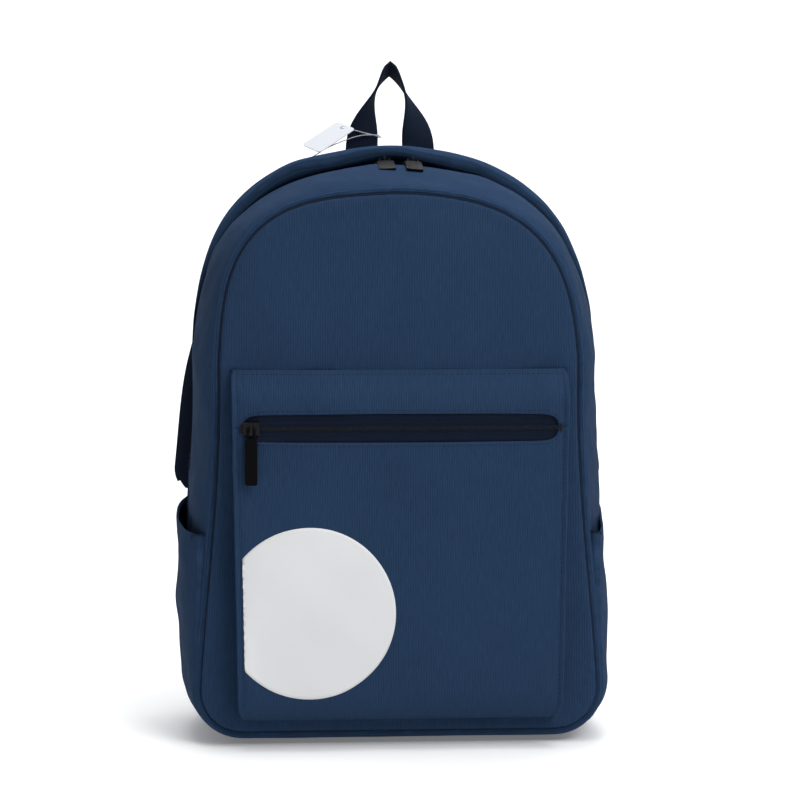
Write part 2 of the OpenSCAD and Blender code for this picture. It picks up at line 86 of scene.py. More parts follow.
# %% Sizes read from the frame
rear_lo, rear_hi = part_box("rear_gusset")
gusset_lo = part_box("front_gusset")[0]
side_lo, side_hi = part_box("side_panel_right")
ARCH_R = round((rear_hi.x - rear_lo.x) / 2 / MM) * MM  # whole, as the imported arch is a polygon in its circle
ARCH_Z = rear_hi.z - ARCH_R
ZIP_Y = joints["main_slider_left_run"]["pos_m"][1]
ZIP_Z = joints["main_slider_left_run"]["pos_m"][2]
FRONT_Y = gusset_lo.y
REAR_Y = side_hi.y
LOW_X = side_hi.x
CORNER = side_hi.x - side_lo.x
FRONT_DRAW = 17 * MM  # how far the arch's front seam is drawn in from its widest line
REAR_DRAW = 5 * MM
LOW_FRONT_DRAW = 6 * MM  # the same, along the base
LOW_REAR_DRAW = 3 * MM
WAIST = 2 * MM
print("arch", ARCH_R, ARCH_Z, "zip", ZIP_Y, ZIP_Z, "front", FRONT_Y, "rear", REAR_Y, "corner", CORNER)

# %% [markdown]
# Every soft piece is a grid of points. It could be modelled by hand and smoothed with modifiers.
# Arrays are used here, because a whole surface is then one formula, and a seam, a sag or a fold can
# be added to it as a number. Beside each point goes a map in metres, so that the weave keeps its real
# size wherever the cloth goes.

# %% Mesh helpers
def unit(v):
    """Vectors divided by their lengths."""
    return v / np.maximum(np.linalg.norm(v, axis=-1, keepdims=True), 1e-12)


def ease(t):
    """Smooth step: 3t^2 - 2t^3, held between 0 and 1."""
    t = np.clip(t, 0, 1)
    return t * t * (3 - 2 * t)


def mix(a, b, t):
    """Straight line from a to b."""
    return a + (b - a) * t


def soft(p, scale, seed):
    """A smooth, repeatable unevenness: seven sine waves in random directions, summed, from -1 to 1."""
    rng = np.random.default_rng(seed)
    k = unit(rng.normal(size=(7, 3))) * (tau / scale) * rng.uniform(0.6, 1.5, (7, 1))
    phase = rng.uniform(0, tau, 7)
    return np.sin(p @ k.T + phase).sum(-1) / 7 * 1.6


def grid_normals(p):
    """Normals of a grid: the cross product of its two directions of travel."""
    return unit(np.cross(np.gradient(p, axis=0), np.gradient(p, axis=1)))


def add_mesh(name, verts, faces, materials, uv=None):
    """A smooth mesh object from points and faces. uv is one pair per point, in metres."""
    mesh = bpy.data.meshes.new(name)
    faces = faces if isinstance(faces, list) else faces.tolist()
    mesh.from_pydata(np.asarray(verts, float).tolist(), [], faces)
    if uv is not None:
        corners = np.empty(len(mesh.loops), np.int32)
        mesh.loops.foreach_get("vertex_index", corners)
        values = np.asarray(uv, np.float32)[corners]
        mesh.uv_layers.new(name="cloth").data.foreach_set("uv", values.ravel())
    mesh.polygons.foreach_set("use_smooth", np.ones(len(mesh.polygons), bool))
    mesh.validate()
    obj = bpy.data.objects.new(name, mesh)
    bpy.context.scene.collection.objects.link(obj)
    for m in materials if isinstance(materials, (list, tuple)) else [materials]:
        obj.data.materials.append(m)
    return obj


def grid_faces(nu, nv, closed_u=False, closed_v=False):
    """Quads of a grid of nu by nv points, which may be closed either way round."""
    i = np.arange(nu if closed_u else nu - 1)[:, None]
    j = np.arange(nv if closed_v else nv - 1)[None, :]
    i2, j2 = (i + 1) % nu, (j + 1) % nv
    return np.stack([i * nv + j, i2 * nv + j, i2 * nv + j2, i * nv + j2], -1).reshape(-1, 4)


def merge(obj, distance=2e-6):
    """Joins points that coincide, and drops the faces that this flattens."""
    bm = bmesh.new()
    bm.from_mesh(obj.data)
    bmesh.ops.remove_doubles(bm, verts=bm.verts, dist=distance)
    bmesh.ops.dissolve_degenerate(bm, edges=bm.edges, dist=distance / 2)
    bm.to_mesh(obj.data)
    bm.free()
    return obj


def sheet(name, p, materials, uv, closed_u=False, closed_v=False, away=(0, 0, 0.2)):
    """A sheet from a grid of points. Its faces are turned away from the point 'away'."""
    nu, nv = p.shape[:2]
    faces = grid_faces(nu, nv, closed_u, closed_v)
    v = p.reshape(-1, 3)
    a, b, c = v[faces[:, 0]], v[faces[:, 1]], v[faces[:, 2]]
    out = (np.cross(b - a, c - a) * (a - np.array(away))).sum()
    if out < 0:
        faces = faces[:, ::-1]
    return add_mesh(name, v, faces, materials, uv.reshape(-1, 2))


def thicken(obj, thickness, inner=0):
    """Gives a sheet its wall, inwards from the visible side, with its own material inside if asked."""
    m = obj.modifiers.new("wall", "SOLIDIFY")
    m.thickness = thickness
    m.offset = -1
    m.use_even_offset = False
    m.material_offset = inner
    return obj


def apply_all(obj):
    """Applies every modifier."""
    dg = bpy.context.evaluated_depsgraph_get()
    mesh = bpy.data.meshes.new_from_object(obj.evaluated_get(dg))
    obj.modifiers.clear()
    obj.data = mesh
    return obj


def outward(obj):
    """Turns a closed mesh the right way out: its signed volume is negative when its faces point in."""
    bm = bmesh.new()
    bm.from_mesh(obj.data)
    if bm.calc_volume(signed=True) < 0:
        bmesh.ops.reverse_faces(bm, faces=bm.faces)
    bm.to_mesh(obj.data)
    bm.free()
    return obj


def distances(p):
    """How far along a path each of its points lies."""
    return np.concatenate([[0], np.cumsum(np.linalg.norm(np.diff(p, axis=0), axis=1))])


def closed_tube(name, rings, uv, materials):
    """A closed shell from a stack of rings: quads between them, and a fan of triangles over each end."""
    n, m = rings.shape[:2]
    v = np.concatenate([rings.reshape(-1, 3), rings[0].mean(0)[None], rings[-1].mean(0)[None]])
    uv = np.concatenate([uv.reshape(-1, 2), [[0, 0]], [[0, uv[-1, 0, 1]]]])
    j = np.arange(m)
    after = (j + 1) % m
    last = (n - 1) * m
    faces = grid_faces(n, m, False, True).tolist()
    faces += np.stack([after, j, np.full(m, n * m)], -1).tolist()
    faces += np.stack([last + j, last + after, np.full(m, n * m + 1)], -1).tolist()
    return outward(add_mesh(name, v, faces, materials, uv))


def sweep(name, p, up, ring, materials):
    """A profile carried along a path. Its points are (sideways, outward), and outward is nearest to up."""
    ahead = unit(np.gradient(p, axis=0))
    side = unit(np.cross(ahead, np.broadcast_to(up, p.shape)))
    out = np.cross(side, ahead)
    rings = p[:, None] + side[:, None] * ring[None, :, :1] + out[:, None] * ring[None, :, 1:]
    n, m = rings.shape[:2]
    uv = np.stack([np.repeat(ring[None, :, 0], n, 0), np.repeat(distances(p)[:, None], m, 1)], -1)
    return closed_tube(name, rings, uv, materials)


def round_ring(w, h, power=2.0, n=20):
    """A super-ellipse: a rounded box of half width w and half height h."""
    a = np.arange(n) * tau / n
    c, s = np.cos(a), np.sin(a)
    e = 2 / power
    return np.stack([w * np.sign(c) * np.abs(c) ** e, h * np.sign(s) * np.abs(s) ** e], -1)


def resample(p, normal, step):
    """Points at even distances along a path, with the normals there."""
    d = distances(p)
    s = np.linspace(0, d[-1], max(2, int(round(d[-1] / step)) + 1))
    return [np.stack([np.interp(s, d, a[:, k]) for k in range(3)], -1) for a in (p, normal)]


STITCH_SINK = 0.08 * MM  # how deep the thread presses into the cloth


def stitches(p, normal, length=2.5 * MM, gap=0.9 * MM, r=0.22 * MM):
    """Points and faces of a row of stitches: small capsules laid end to end along a path."""
    q, n = resample(p, np.broadcast_to(normal, p.shape), length + gap)
    t = unit(np.gradient(q, axis=0))
    n = unit(n - (n * t).sum(-1, keepdims=True) * t)
    b = np.cross(t, n)
    x = np.array([-0.5, -0.36, 0.0, 0.36, 0.5]) * length
    s = np.array([0.25, 0.85, 1.0, 0.85, 0.25]) * r
    bow = np.array([-0.9, 0.1, 0.45, 0.1, -0.9]) * r
    a = np.arange(6) * tau / 6
    ring = np.stack([np.cos(a), np.sin(a)], -1)
    local = q[:, None, None] + t[:, None, None] * x[:, None, None]
    local = local + b[:, None, None] * (s[:, None, None] * ring[None, :, :1])
    height = s[:, None, None] * ring[None, :, 1:] * 0.8 + bow[:, None, None] - STITCH_SINK
    local = local + n[:, None, None] * height
    f = grid_faces(5, 6, False, True)
    caps = np.array([[0, 1, 2, 3], [0, 3, 4, 5], [27, 26, 25, 24], [29, 28, 27, 24]])
    f = np.concatenate([f[:, ::-1], caps])
    faces = (f[None] + 30 * np.arange(len(q))[:, None, None]).reshape(-1, 4)
    return local.reshape(-1, 3), faces


def join_rows(rows):
    """Several (points, faces) rows as one."""
    v, f, n = [], [], 0
    for points, faces in rows:
        v.append(points)
        f.append(faces + n)
        n += len(points)
    return np.concatenate(v), np.concatenate(f)


def sew(name, rows, body, material):
    """One object of stitching that rides on a body."""
    v, f = join_rows(rows)
    obj = outward(add_mesh(name, v, f, material))
    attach(obj, body)
    return obj

# %% [markdown]
# Materials are trees of nodes. Each node takes a line to add, a few to set and one for each link.
# Small helpers do this in one call, so that a formula in the tree reads like a formula in the code.

# %% Node helpers
def put(tree, kind, inputs=None, **props):
    """Adds a node, sets its properties, and sets or links its inputs."""
    n = tree.nodes.new(kind)
    for k, v in props.items():
        setattr(n, k, v)
    for k, v in (inputs or {}).items():
        if isinstance(v, bpy.types.NodeSocket):
            tree.links.new(v, n.inputs[k])
        else:
            n.inputs[k].default_value = v
    return n


def maths(tree, op, a, b=0.0, c=0.5, clamp=False):
    """The result of one sum. c is only for a sum of three values."""
    return put(tree, "ShaderNodeMath", {0: a, 1: b, 2: c}, operation=op, use_clamp=clamp).outputs[0]


def scaled(tree, colour, factor):
    """A colour times a number."""
    values = {0: colour, "Scale": factor}
    return put(tree, "ShaderNodeVectorMath", values, operation="SCALE").outputs[0]


def new_group(name, ins, outs):
    """An empty node group with named sockets."""
    g = bpy.data.node_groups.new(name, "ShaderNodeTree")
    for n, kind, value in ins:
        s = g.interface.new_socket(name=n, in_out="INPUT", socket_type="NodeSocket" + kind)
        if value is not None:
            s.default_value = value
    for n, kind in outs:
        g.interface.new_socket(name=n, in_out="OUTPUT", socket_type="NodeSocket" + kind)
    return g, g.nodes.new("NodeGroupInput"), g.nodes.new("NodeGroupOutput")


def noise(tree, vector, scale, detail=2.0, rough=0.5):
    """A noise value from 0 to 1."""
    values = {"Vector": vector, "Scale": scale, "Detail": detail, "Roughness": rough}
    return put(tree, "ShaderNodeTexNoise", values).outputs[0]

# %% [markdown]
# The outer cloth is a matte polyester with fine upright ribs, about 1.2 mm apart, crossed by a
# tighter thread. It could be an image texture, but that blurs close up and repeats far off.
# Here a sine makes the ribs and a noise makes them uneven, in one node group that gives the colour,
# the height and the roughness together.

# %% The weave group
def weave_group():
    """Ribs of a given pitch along one direction, broken by a cross thread and by uneven yarn."""
    g, gi, go = new_group(
        "Weave",
        [("Vector", "Vector", None), ("Colour", "Color", (0.1, 0.1, 0.1, 1)), ("Pitch", "Float", 1.2 * MM),
         ("Cross pitch", "Float", 0.9 * MM), ("Contrast", "Float", 0.5), ("Cloud", "Float", 0.12)],
        [("Colour", "Color"), ("Height", "Float"), ("Roughness", "Float")],
    )
    xyz = put(g, "ShaderNodeSeparateXYZ", {0: gi.outputs["Vector"]}).outputs
    wobble = noise(g, gi.outputs["Vector"], 60.0)
    u = maths(g, "DIVIDE", xyz[0], gi.outputs["Pitch"])
    u = maths(g, "ADD", u, maths(g, "MULTIPLY", wobble, 0.6))
    v = maths(g, "DIVIDE", xyz[1], gi.outputs["Cross pitch"])
    rib = maths(g, "MULTIPLY_ADD", maths(g, "SINE", maths(g, "MULTIPLY", u, tau)), 0.5, 0.5)
    odd = maths(g, "MULTIPLY", maths(g, "FLOOR", u), 0.5)
    cross = maths(g, "SINE", maths(g, "MULTIPLY", maths(g, "ADD", v, odd), tau))
    cross = maths(g, "MULTIPLY_ADD", cross, 0.5, 0.5)
    stretch = put(g, "ShaderNodeCombineXYZ", {0: u, 1: maths(g, "MULTIPLY", v, 0.09), 2: 0.0}).outputs[0]
    yarn = noise(g, stretch, 1.0, 2.0, 0.6)
    fuzz = noise(g, gi.outputs["Vector"], 2600.0, 1.0, 0.6)
    cloud = noise(g, gi.outputs["Vector"], 9.0, 3.0, 0.55)
    height = maths(g, "ADD", maths(g, "MULTIPLY", rib, 0.5), maths(g, "MULTIPLY", cross, 0.28))
    height = maths(g, "ADD", height, maths(g, "MULTIPLY", yarn, 0.5))
    height = maths(g, "ADD", height, maths(g, "MULTIPLY", fuzz, 0.25))
    tone = maths(g, "SUBTRACT", height, 0.74)
    tone = maths(g, "MULTIPLY", tone, gi.outputs["Contrast"])
    tone = maths(g, "ADD", tone, maths(g, "MULTIPLY", maths(g, "SUBTRACT", cloud, 0.5), gi.outputs["Cloud"]))
    tone = maths(g, "ADD", tone, 1.0)
    g.links.new(scaled(g, gi.outputs["Colour"], tone), go.inputs["Colour"])
    g.links.new(height, go.inputs["Height"])
    g.links.new(maths(g, "SUBTRACT", 0.98, maths(g, "MULTIPLY", height, 0.12)), go.inputs["Roughness"])
    return g


WEAVE = weave_group()


def base_material(name, rough, sheen=0.0, coat=0.0, specular=0.5, sheen_tint=(1, 1, 1)):
    """A material with one Principled shader whose steady values sit on its own sockets."""
    m = bpy.data.materials.new(name)
    m.use_nodes = True
    s = m.node_tree.nodes["Principled BSDF"]
    s.inputs["Roughness"].default_value = rough
    s.inputs["Sheen Weight"].default_value = sheen
    s.inputs["Sheen Roughness"].default_value = 0.4
    s.inputs["Sheen Tint"].default_value = (*sheen_tint, 1)
    s.inputs["Coat Weight"].default_value = coat
    s.inputs["Specular IOR Level"].default_value = specular
    return m, m.node_tree, s


def cloth(name, colour, pitch=1.2 * MM, cross=0.9 * MM, contrast=0.5, cloud=0.12, bump=0.12 * MM, sheen=0.25,
          coordinates="UV"):
    """Woven cloth: the weave group on the piece's map, or on object coordinates for plain solids."""
    m, t, s = base_material(name, 0.95, sheen * 0.03, 0.0, 0.03, (0.75, 0.85, 1.0))
    vec = put(t, "ShaderNodeTexCoord").outputs[coordinates]
    w = put(t, "ShaderNodeGroup", node_tree=WEAVE)
    t.links.new(vec, w.inputs["Vector"])
    w.inputs["Colour"].default_value = (*colour, 1)
    w.inputs["Pitch"].default_value = pitch
    w.inputs["Cross pitch"].default_value = cross
    w.inputs["Contrast"].default_value = contrast
    w.inputs["Cloud"].default_value = cloud
    b = put(t, "ShaderNodeBump", {"Height": w.outputs["Height"], "Strength": 1.0, "Distance": bump})
    t.links.new(w.outputs["Colour"], s.inputs["Base Color"])
    t.links.new(w.outputs["Roughness"], s.inputs["Roughness"])
    t.links.new(b.outputs[0], s.inputs["Normal"])
    return m

# %% [markdown]
# The lining, the tapes, the webbing and the strap cloth are woven as well. They could each have a
# tree of their own. The same group with another pitch and depth is enough, and it keeps them all
# alike in kind. The threads are too thin for a weave, so they only wander between two colours.

# %% Materials of the cloth, tapes and webbing
NAVY = (0.0175, 0.0375, 0.0800)
LINING = (0.013, 0.022, 0.040)
outer = cloth("outer_ribbed_cloth", NAVY, contrast=0.95, bump=0.2 * MM)
# The rear band's cloth is the same navy made about 1.15 times lighter: a painted highlight that stands in for
# the top light falling on its upturned lip.
rear_cloth_painted_lighter = cloth("rear_band_cloth", (0.0205, 0.0430, 0.0890), contrast=0.9, bump=0.2 * MM)
lining = cloth("lining_cloth", LINING, 0.5 * MM, 0.5 * MM, 0.25, 0.1, 0.05 * MM, 0.1)
binding = cloth("binding_tape", (0.010, 0.015, 0.028), 0.7 * MM, 1.4 * MM, 0.5, 0.1, 0.12 * MM, 0.15)
tape = cloth("zip_tape", (0.0085, 0.013, 0.026), 0.55 * MM, 1.1 * MM, 0.5, 0.08, 0.10 * MM, 0.12)
webbing = cloth("ribbed_webbing", (0.0100, 0.0155, 0.0295), 1.5 * MM, 1.1 * MM, 0.7, 0.1, 0.30 * MM, 0.2)
strap_cloth = cloth("strap_cloth", (0.0075, 0.0105, 0.021), 0.9 * MM, 0.8 * MM, 0.5, 0.1, 0.10 * MM, 0.2)


def mottled(tree, shader, scale, low, high):
    """A base colour that wanders between two colours with a noise on object coordinates."""
    value = noise(tree, put(tree, "ShaderNodeTexCoord").outputs["Object"], scale)
    colour = put(tree, "ShaderNodeMix", {0: value, 6: (*low, 1), 7: (*high, 1)}, data_type="RGBA")
    tree.links.new(colour.outputs[2], shader.inputs["Base Color"])


thread, thread_tree, thread_shader = base_material("sewing_thread", 0.8, specular=0.15)
mottled(thread_tree, thread_shader, 900.0, (0.003, 0.007, 0.018), (0.008, 0.017, 0.038))
dark_thread, thread_tree, thread_shader = base_material("dark_thread", 0.8, specular=0.15)
mottled(thread_tree, thread_shader, 900.0, (0.003, 0.006, 0.014), (0.010, 0.016, 0.032))

# %% [markdown]
# The padded back is faced with spacer mesh: a knitted cloth with a net of small round holes over
# foam. The holes could be cut in the mesh, but there are thousands of them, and no deeper than the
# knit. A regular dot pattern in the height and the colour is lighter, and reads the same from a
# hand's width away.

# %% The spacer mesh group and material
def mesh_group():
    """Round holes on a staggered grid: the distance from the nearest hole's centre, in pitches."""
    g, gi, go = new_group(
        "Spacer_mesh",
        [("Vector", "Vector", None), ("Colour", "Color", (0.1, 0.1, 0.1, 1)), ("Pitch", "Float", 3.2 * MM)],
        [("Colour", "Color"), ("Height", "Float")],
    )
    xyz = put(g, "ShaderNodeSeparateXYZ", {0: gi.outputs["Vector"]}).outputs
    v = maths(g, "DIVIDE", xyz[1], maths(g, "MULTIPLY", gi.outputs["Pitch"], 0.87))
    odd = maths(g, "MULTIPLY", maths(g, "MODULO", maths(g, "ABSOLUTE", maths(g, "FLOOR", v)), 2.0), 0.5)
    u = maths(g, "ADD", maths(g, "DIVIDE", xyz[0], gi.outputs["Pitch"]), odd)
    fu = maths(g, "SUBTRACT", maths(g, "FRACT", u), 0.5)
    fv = maths(g, "SUBTRACT", maths(g, "FRACT", v), 0.5)
    d = maths(g, "SQRT", maths(g, "ADD", maths(g, "MULTIPLY", fu, fu), maths(g, "MULTIPLY", fv, fv)))
    wall = maths(g, "MULTIPLY", maths(g, "SUBTRACT", d, 0.2), 5.0, clamp=True)
    fibre = noise(g, gi.outputs["Vector"], 1800.0, 2.0, 0.6)
    height = maths(g, "ADD", wall, maths(g, "MULTIPLY", fibre, 0.35))
    tone = maths(g, "MULTIPLY_ADD", wall, 0.85, 0.12)
    tone = maths(g, "MULTIPLY", tone, maths(g, "ADD", 0.75, maths(g, "MULTIPLY", fibre, 0.5)))
    g.links.new(scaled(g, gi.outputs["Colour"], tone), go.inputs["Colour"])
    g.links.new(height, go.inputs["Height"])
    return g


SPACER = mesh_group()


def spacer(name, colour):
    """Spacer mesh laid flat on the back: its pattern lies in the plane of the back panel."""
    m, t, s = base_material(name, 0.9, 0.3, specular=0.3)
    xyz = put(t, "ShaderNodeSeparateXYZ", {0: put(t, "ShaderNodeTexCoord").outputs["Object"]}).outputs
    flat = put(t, "ShaderNodeCombineXYZ", {0: xyz[0], 1: xyz[2], 2: 0.0}).outputs[0]
    w = put(t, "ShaderNodeGroup", node_tree=SPACER)
    t.links.new(flat, w.inputs["Vector"])
    w.inputs["Colour"].default_value = (*colour, 1)
    w.inputs["Pitch"].default_value = 3.2 * MM
    b = put(t, "ShaderNodeBump", {"Height": w.outputs["Height"], "Strength": 1.0, "Distance": 0.5 * MM})
    t.links.new(w.outputs["Colour"], s.inputs["Base Color"])
    t.links.new(b.outputs[0], s.inputs["Normal"])
    return m


mesh_cloth = spacer("spacer_mesh", (0.020, 0.030, 0.058))

# %% [markdown]
# Hard parts are black enamelled sliders, moulded pull tabs and ladder locks, a printed film and a
# blank card. A plain value for the roughness would look new from the mould. One group adds a fine
# grain and faint smudges and scratches, and each material chooses how much.

# %% The handling group and the hard materials
def handling_group():
    """Faint scratches and smudges: a stretched fine noise over a broad one."""
    g, gi, go = new_group(
        "Handling",
        [("Vector", "Vector", None), ("Colour", "Color", (0.1, 0.1, 0.1, 1)), ("Roughness", "Float", 0.3),
         ("Amount", "Float", 0.15), ("Grain", "Float", 900.0)],
        [("Colour", "Color"), ("Roughness", "Float"), ("Height", "Float")],
    )
    broad = noise(g, gi.outputs["Vector"], 90.0, 4.0, 0.6)
    fine = noise(g, gi.outputs["Vector"], gi.outputs["Grain"], 2.0, 0.6)
    streaks = {"Vector": gi.outputs["Vector"], "Scale": (1.0, 1.0, 0.08), "Rotation": (0.4, 0.3, 0.8)}
    long = put(g, "ShaderNodeMapping", streaks)
    scratch = maths(g, "GREATER_THAN", noise(g, long.outputs[0], 1500.0, 1.0, 0.5), 0.74)
    mark = maths(g, "ADD", maths(g, "SUBTRACT", broad, 0.5), maths(g, "MULTIPLY", scratch, 0.6))
    mark = maths(g, "MULTIPLY", mark, gi.outputs["Amount"])
    rough = maths(g, "ADD", gi.outputs["Roughness"], mark, clamp=True)
    tone = maths(g, "ADD", 1.0, mark)
    g.links.new(scaled(g, gi.outputs["Colour"], tone), go.inputs["Colour"])
    g.links.new(rough, go.inputs["Roughness"])
    g.links.new(fine, go.inputs["Height"])
    return g


HANDLING = handling_group()


def hard(name, colour, rough, coat=0.0, grain=900.0, bump=0.01 * MM, amount=0.15, specular=0.5):
    """A hard surface with handling marks and a fine grain."""
    m, t, s = base_material(name, rough, 0.0, coat, specular)
    s.inputs["Coat Roughness"].default_value = 0.12
    w = put(t, "ShaderNodeGroup", node_tree=HANDLING)
    t.links.new(put(t, "ShaderNodeTexCoord").outputs["Object"], w.inputs["Vector"])
    w.inputs["Colour"].default_value = (*colour, 1)
    w.inputs["Roughness"].default_value = rough
    w.inputs["Amount"].default_value = amount
    w.inputs["Grain"].default_value = grain
    b = put(t, "ShaderNodeBump", {"Height": w.outputs["Height"], "Strength": 1.0, "Distance": bump})
    t.links.new(w.outputs["Colour"], s.inputs["Base Color"])
    t.links.new(w.outputs["Roughness"], s.inputs["Roughness"])
    t.links.new(b.outputs[0], s.inputs["Normal"])
    return m


enamel = hard("black_enamel", (0.003, 0.003, 0.004), 0.42, 0.03, specular=0.22)
GLOSS_BLACK = (0.0018, 0.0018, 0.0024)
gloss_black = hard("gloss_black_moulding", GLOSS_BLACK, 0.42, 0.0, 700.0, 0.012 * MM, specular=0.05)
coil_black = hard("zip_coil_nylon", (0.006, 0.008, 0.014), 0.5, 0.0, 1500.0, specular=0.2)
buckle_black = hard("moulded_buckle", (0.012, 0.012, 0.014), 0.48, 0.0, 1400.0, 0.03 * MM)
card_grey = hard("blank_card", (0.44, 0.46, 0.50), 0.5, 0.2, 2000.0, 0.01 * MM, 0.08)
filament = hard("clear_filament", (0.34, 0.35, 0.38), 0.25, 0.4, 900.0, 0.0, 0.05)


def print_material():
    """A smooth white film that still shows the ribs of the cloth under it."""
    m, t, s = base_material("print_film", 0.55, specular=0.4)
    w = put(t, "ShaderNodeGroup", node_tree=WEAVE)
    t.links.new(put(t, "ShaderNodeTexCoord").outputs["UV"], w.inputs["Vector"])
    w.inputs["Colour"].default_value = (0.66, 0.665, 0.675, 1)
    w.inputs["Pitch"].default_value = 1.2 * MM
    w.inputs["Cross pitch"].default_value = 0.9 * MM
    w.inputs["Contrast"].default_value = 0.035
    w.inputs["Cloud"].default_value = 0.06
    b = put(t, "ShaderNodeBump", {"Height": w.outputs["Height"], "Strength": 1.0, "Distance": 0.025 * MM})
    t.links.new(w.outputs["Colour"], s.inputs["Base Color"])
    t.links.new(b.outputs[0], s.inputs["Normal"])
    return m


film = print_material()
print("materials", len(bpy.data.materials))

# %% [markdown]
# The outline is an arch, two sides that draw in a little at the waist, two rounded lower corners and
# a flat base. It could be a curve object, but the panels need its normals and its length at every
# point, so it's kept as arrays. Each seam is drawn in from the widest line by its own amount, which
# grows with the square of its distance from the zip.

# %% The outline's stations
SHOULDER_REAR = 8 * MM  # how far the cloth fills out past a plain arch at its shoulders, beside the zip
SHOULDER_FRONT = 12.5 * MM  # the same, at the front seam
STATION_STEP = 2.6 * MM


def half_width(t):
    """Half the width of the sides: the arch's radius, plus 4 t^2, less a waist of sin(pi t)."""
    return ARCH_R + (LOW_X - ARCH_R) * t * t - WAIST * np.sin(np.pi * t)


def shoulder_fullness(angle, x):
    """sin(2a)^2.5 for an angle a from the top: 0 at the top and at the sides, and least on the right."""
    return np.sin(2 * np.clip(angle, 0, np.pi / 2)) ** 2.5 * (1 - 0.2 * np.tanh(x / 0.04))


class Outline:
    """Stations round the bag from the middle of its base: points, outward normals and the seams' draws."""

    def __init__(self, centre_z):
        drop = ARCH_Z - centre_z
        end = np.pi / 2 - np.arcsin(drop / ARCH_R)
        a = np.linspace(0, end, int(ARCH_R * end / STATION_STEP))
        arch = np.stack([ARCH_R * np.sin(a), centre_z + ARCH_R * np.cos(a)], -1)
        t = np.linspace(0, 1, int((ARCH_Z - CORNER) / STATION_STEP))[1:]
        side = np.stack([half_width(t), mix(ARCH_Z, CORNER, t)], -1)
        c = np.linspace(0, np.pi / 2, int(CORNER * 1.6 / STATION_STEP))[1:]
        turn = np.stack([LOW_X - CORNER + CORNER * np.cos(c), CORNER - CORNER * np.sin(c)], -1)
        x = np.linspace(LOW_X - CORNER, 0, int((LOW_X - CORNER) / STATION_STEP))[1:]
        base = np.stack([x, x * 0], -1)
        p = np.concatenate([arch, side, turn, base])
        level = np.concatenate([a * 0, ease(t), c * 0 + 1, x * 0 + 1])
        left = p[-2:0:-1] * np.array([-1, 1])
        p = np.concatenate([p, left])
        level = np.concatenate([level, level[-2:0:-1]])
        for _ in range(3):
            p = (np.roll(p, 1, 0) + 2 * p + np.roll(p, -1, 0)) / 4
        p = np.roll(p, len(p) // 2, 0)
        level = np.roll(level, len(p) // 2)
        d = np.roll(p, -1, 0) - np.roll(p, 1, 0)
        self.p = p
        self.n = unit(np.stack([-d[:, 1], d[:, 0]], -1))
        self.full = shoulder_fullness(np.arctan2(np.abs(p[:, 0]), p[:, 1] - centre_z), p[:, 0])
        self.front = mix(FRONT_DRAW, LOW_FRONT_DRAW, level)
        self.rear = mix(REAR_DRAW, LOW_REAR_DRAW, level)
        length = np.linalg.norm(np.roll(p, -1, 0) - p, axis=1)
        self.s = np.concatenate([[0], np.cumsum(length)[:-1]])
        self.total = length.sum()

    def draw(self, y):
        """How far a line at depth y is drawn in: a parabola on each side of the zip."""
        f = self.front[:, None] * ((ZIP_Y - y) / (ZIP_Y - FRONT_Y)) ** 2
        r = self.rear[:, None] * ((y - ZIP_Y) / (REAR_Y - ZIP_Y)) ** 2
        return np.where(y < ZIP_Y, f, r)

    def at(self, y, out=0.0):
        """Points at depth y (one row, or one per station), raised outwards."""
        y = np.broadcast_to(y, (len(self.p), np.shape(y)[-1]))
        forward_part = np.clip((ZIP_Y - y) / (ZIP_Y - FRONT_Y), 0, 1)
        shoulder = self.full[:, None] * mix(SHOULDER_REAR, SHOULDER_FRONT, forward_part)
        q = self.p[:, None] - self.n[:, None] * (self.draw(y) - out - shoulder)[..., None]
        return np.stack([q[..., 0], y, q[..., 1]], -1)

    def uv(self, y):
        """The cloth's map: distance round the bag, and depth."""
        y = np.broadcast_to(y, (len(self.p), np.shape(y)[-1]))
        return np.stack([y, np.repeat(self.s[:, None], y.shape[1], 1)], -1)


front_line = Outline(ZIP_Z)
rear_line = Outline(ARCH_Z)
print("stations", len(front_line.p), len(rear_line.p), "round", round(front_line.total, 3))

# %% [markdown]
# Cloth over a soft body is never flat. It has broad shallow hollows, and short puckers that start at
# each seam where the thread pulls the cloth in. A cloth simulation could make both, but it would
# drift away from the solids. Sums of waves keep every hollow where it's wanted, and of a known depth.

# %% Sag and pucker
def sag(p, amount, seed, scale=0.11):
    """Broad hollows: smooth unevenness times an amount."""
    return soft(p, scale, seed) * amount + soft(p, scale * 0.38, seed + 1) * amount * 0.35


def pucker(s, distance, amount=0.35 * MM, wave=0.011, reach=0.010, seed=3):
    """Puckers beside a seam: waves along it, fading with distance from it."""
    rng = np.random.default_rng(seed)
    k = tau / wave * np.array([1.0, 0.63, 1.37])
    ph = rng.uniform(0, tau, 3)
    w = np.sin(s[..., None] * k + ph + 0.9 * np.sin(s[..., None] * k * 0.21 + ph)).mean(-1)
    return amount * w * np.exp(-distance / reach) * (1 - np.exp(-distance / (reach * 0.12)))

# %% [markdown]
# The front band runs round the whole bag between the front seam and the zip. Its front edge rolls
# into the seam, and its rear edge is folded under beside the zip. Below the zip's ends the front and
# rear bands meet in a plain seam, and become the sides and the base. It could be four pieces, but the
# cloth is one length, so it's made as one piece.

# %% The zip's opening and the gussets
ZIP_LOW = 0.197
ZIP_HALF = 5.5 * MM


def fold_with_flap(obj):
    """Bakes a piece's place into its mesh, and fastens it to no body."""
    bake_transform(obj)


def fixed(obj, body="pack"):
    """Fastens a piece to one body."""
    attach(obj, body)


def zip_open(z):
    """1 along the zip, falling to 0 where it ends on each side."""
    return ease((z - ZIP_LOW) / 0.012)


def side_bulge(y, z):
    """The books push the sides out: a bell in height, highest 158 mm up, times a parabola in depth."""
    return 5.0 * MM * np.exp(-((z - 0.158) / 0.06) ** 2) * np.clip(1 - ((y - 5 * MM) / (62 * MM)) ** 2, 0, 1)


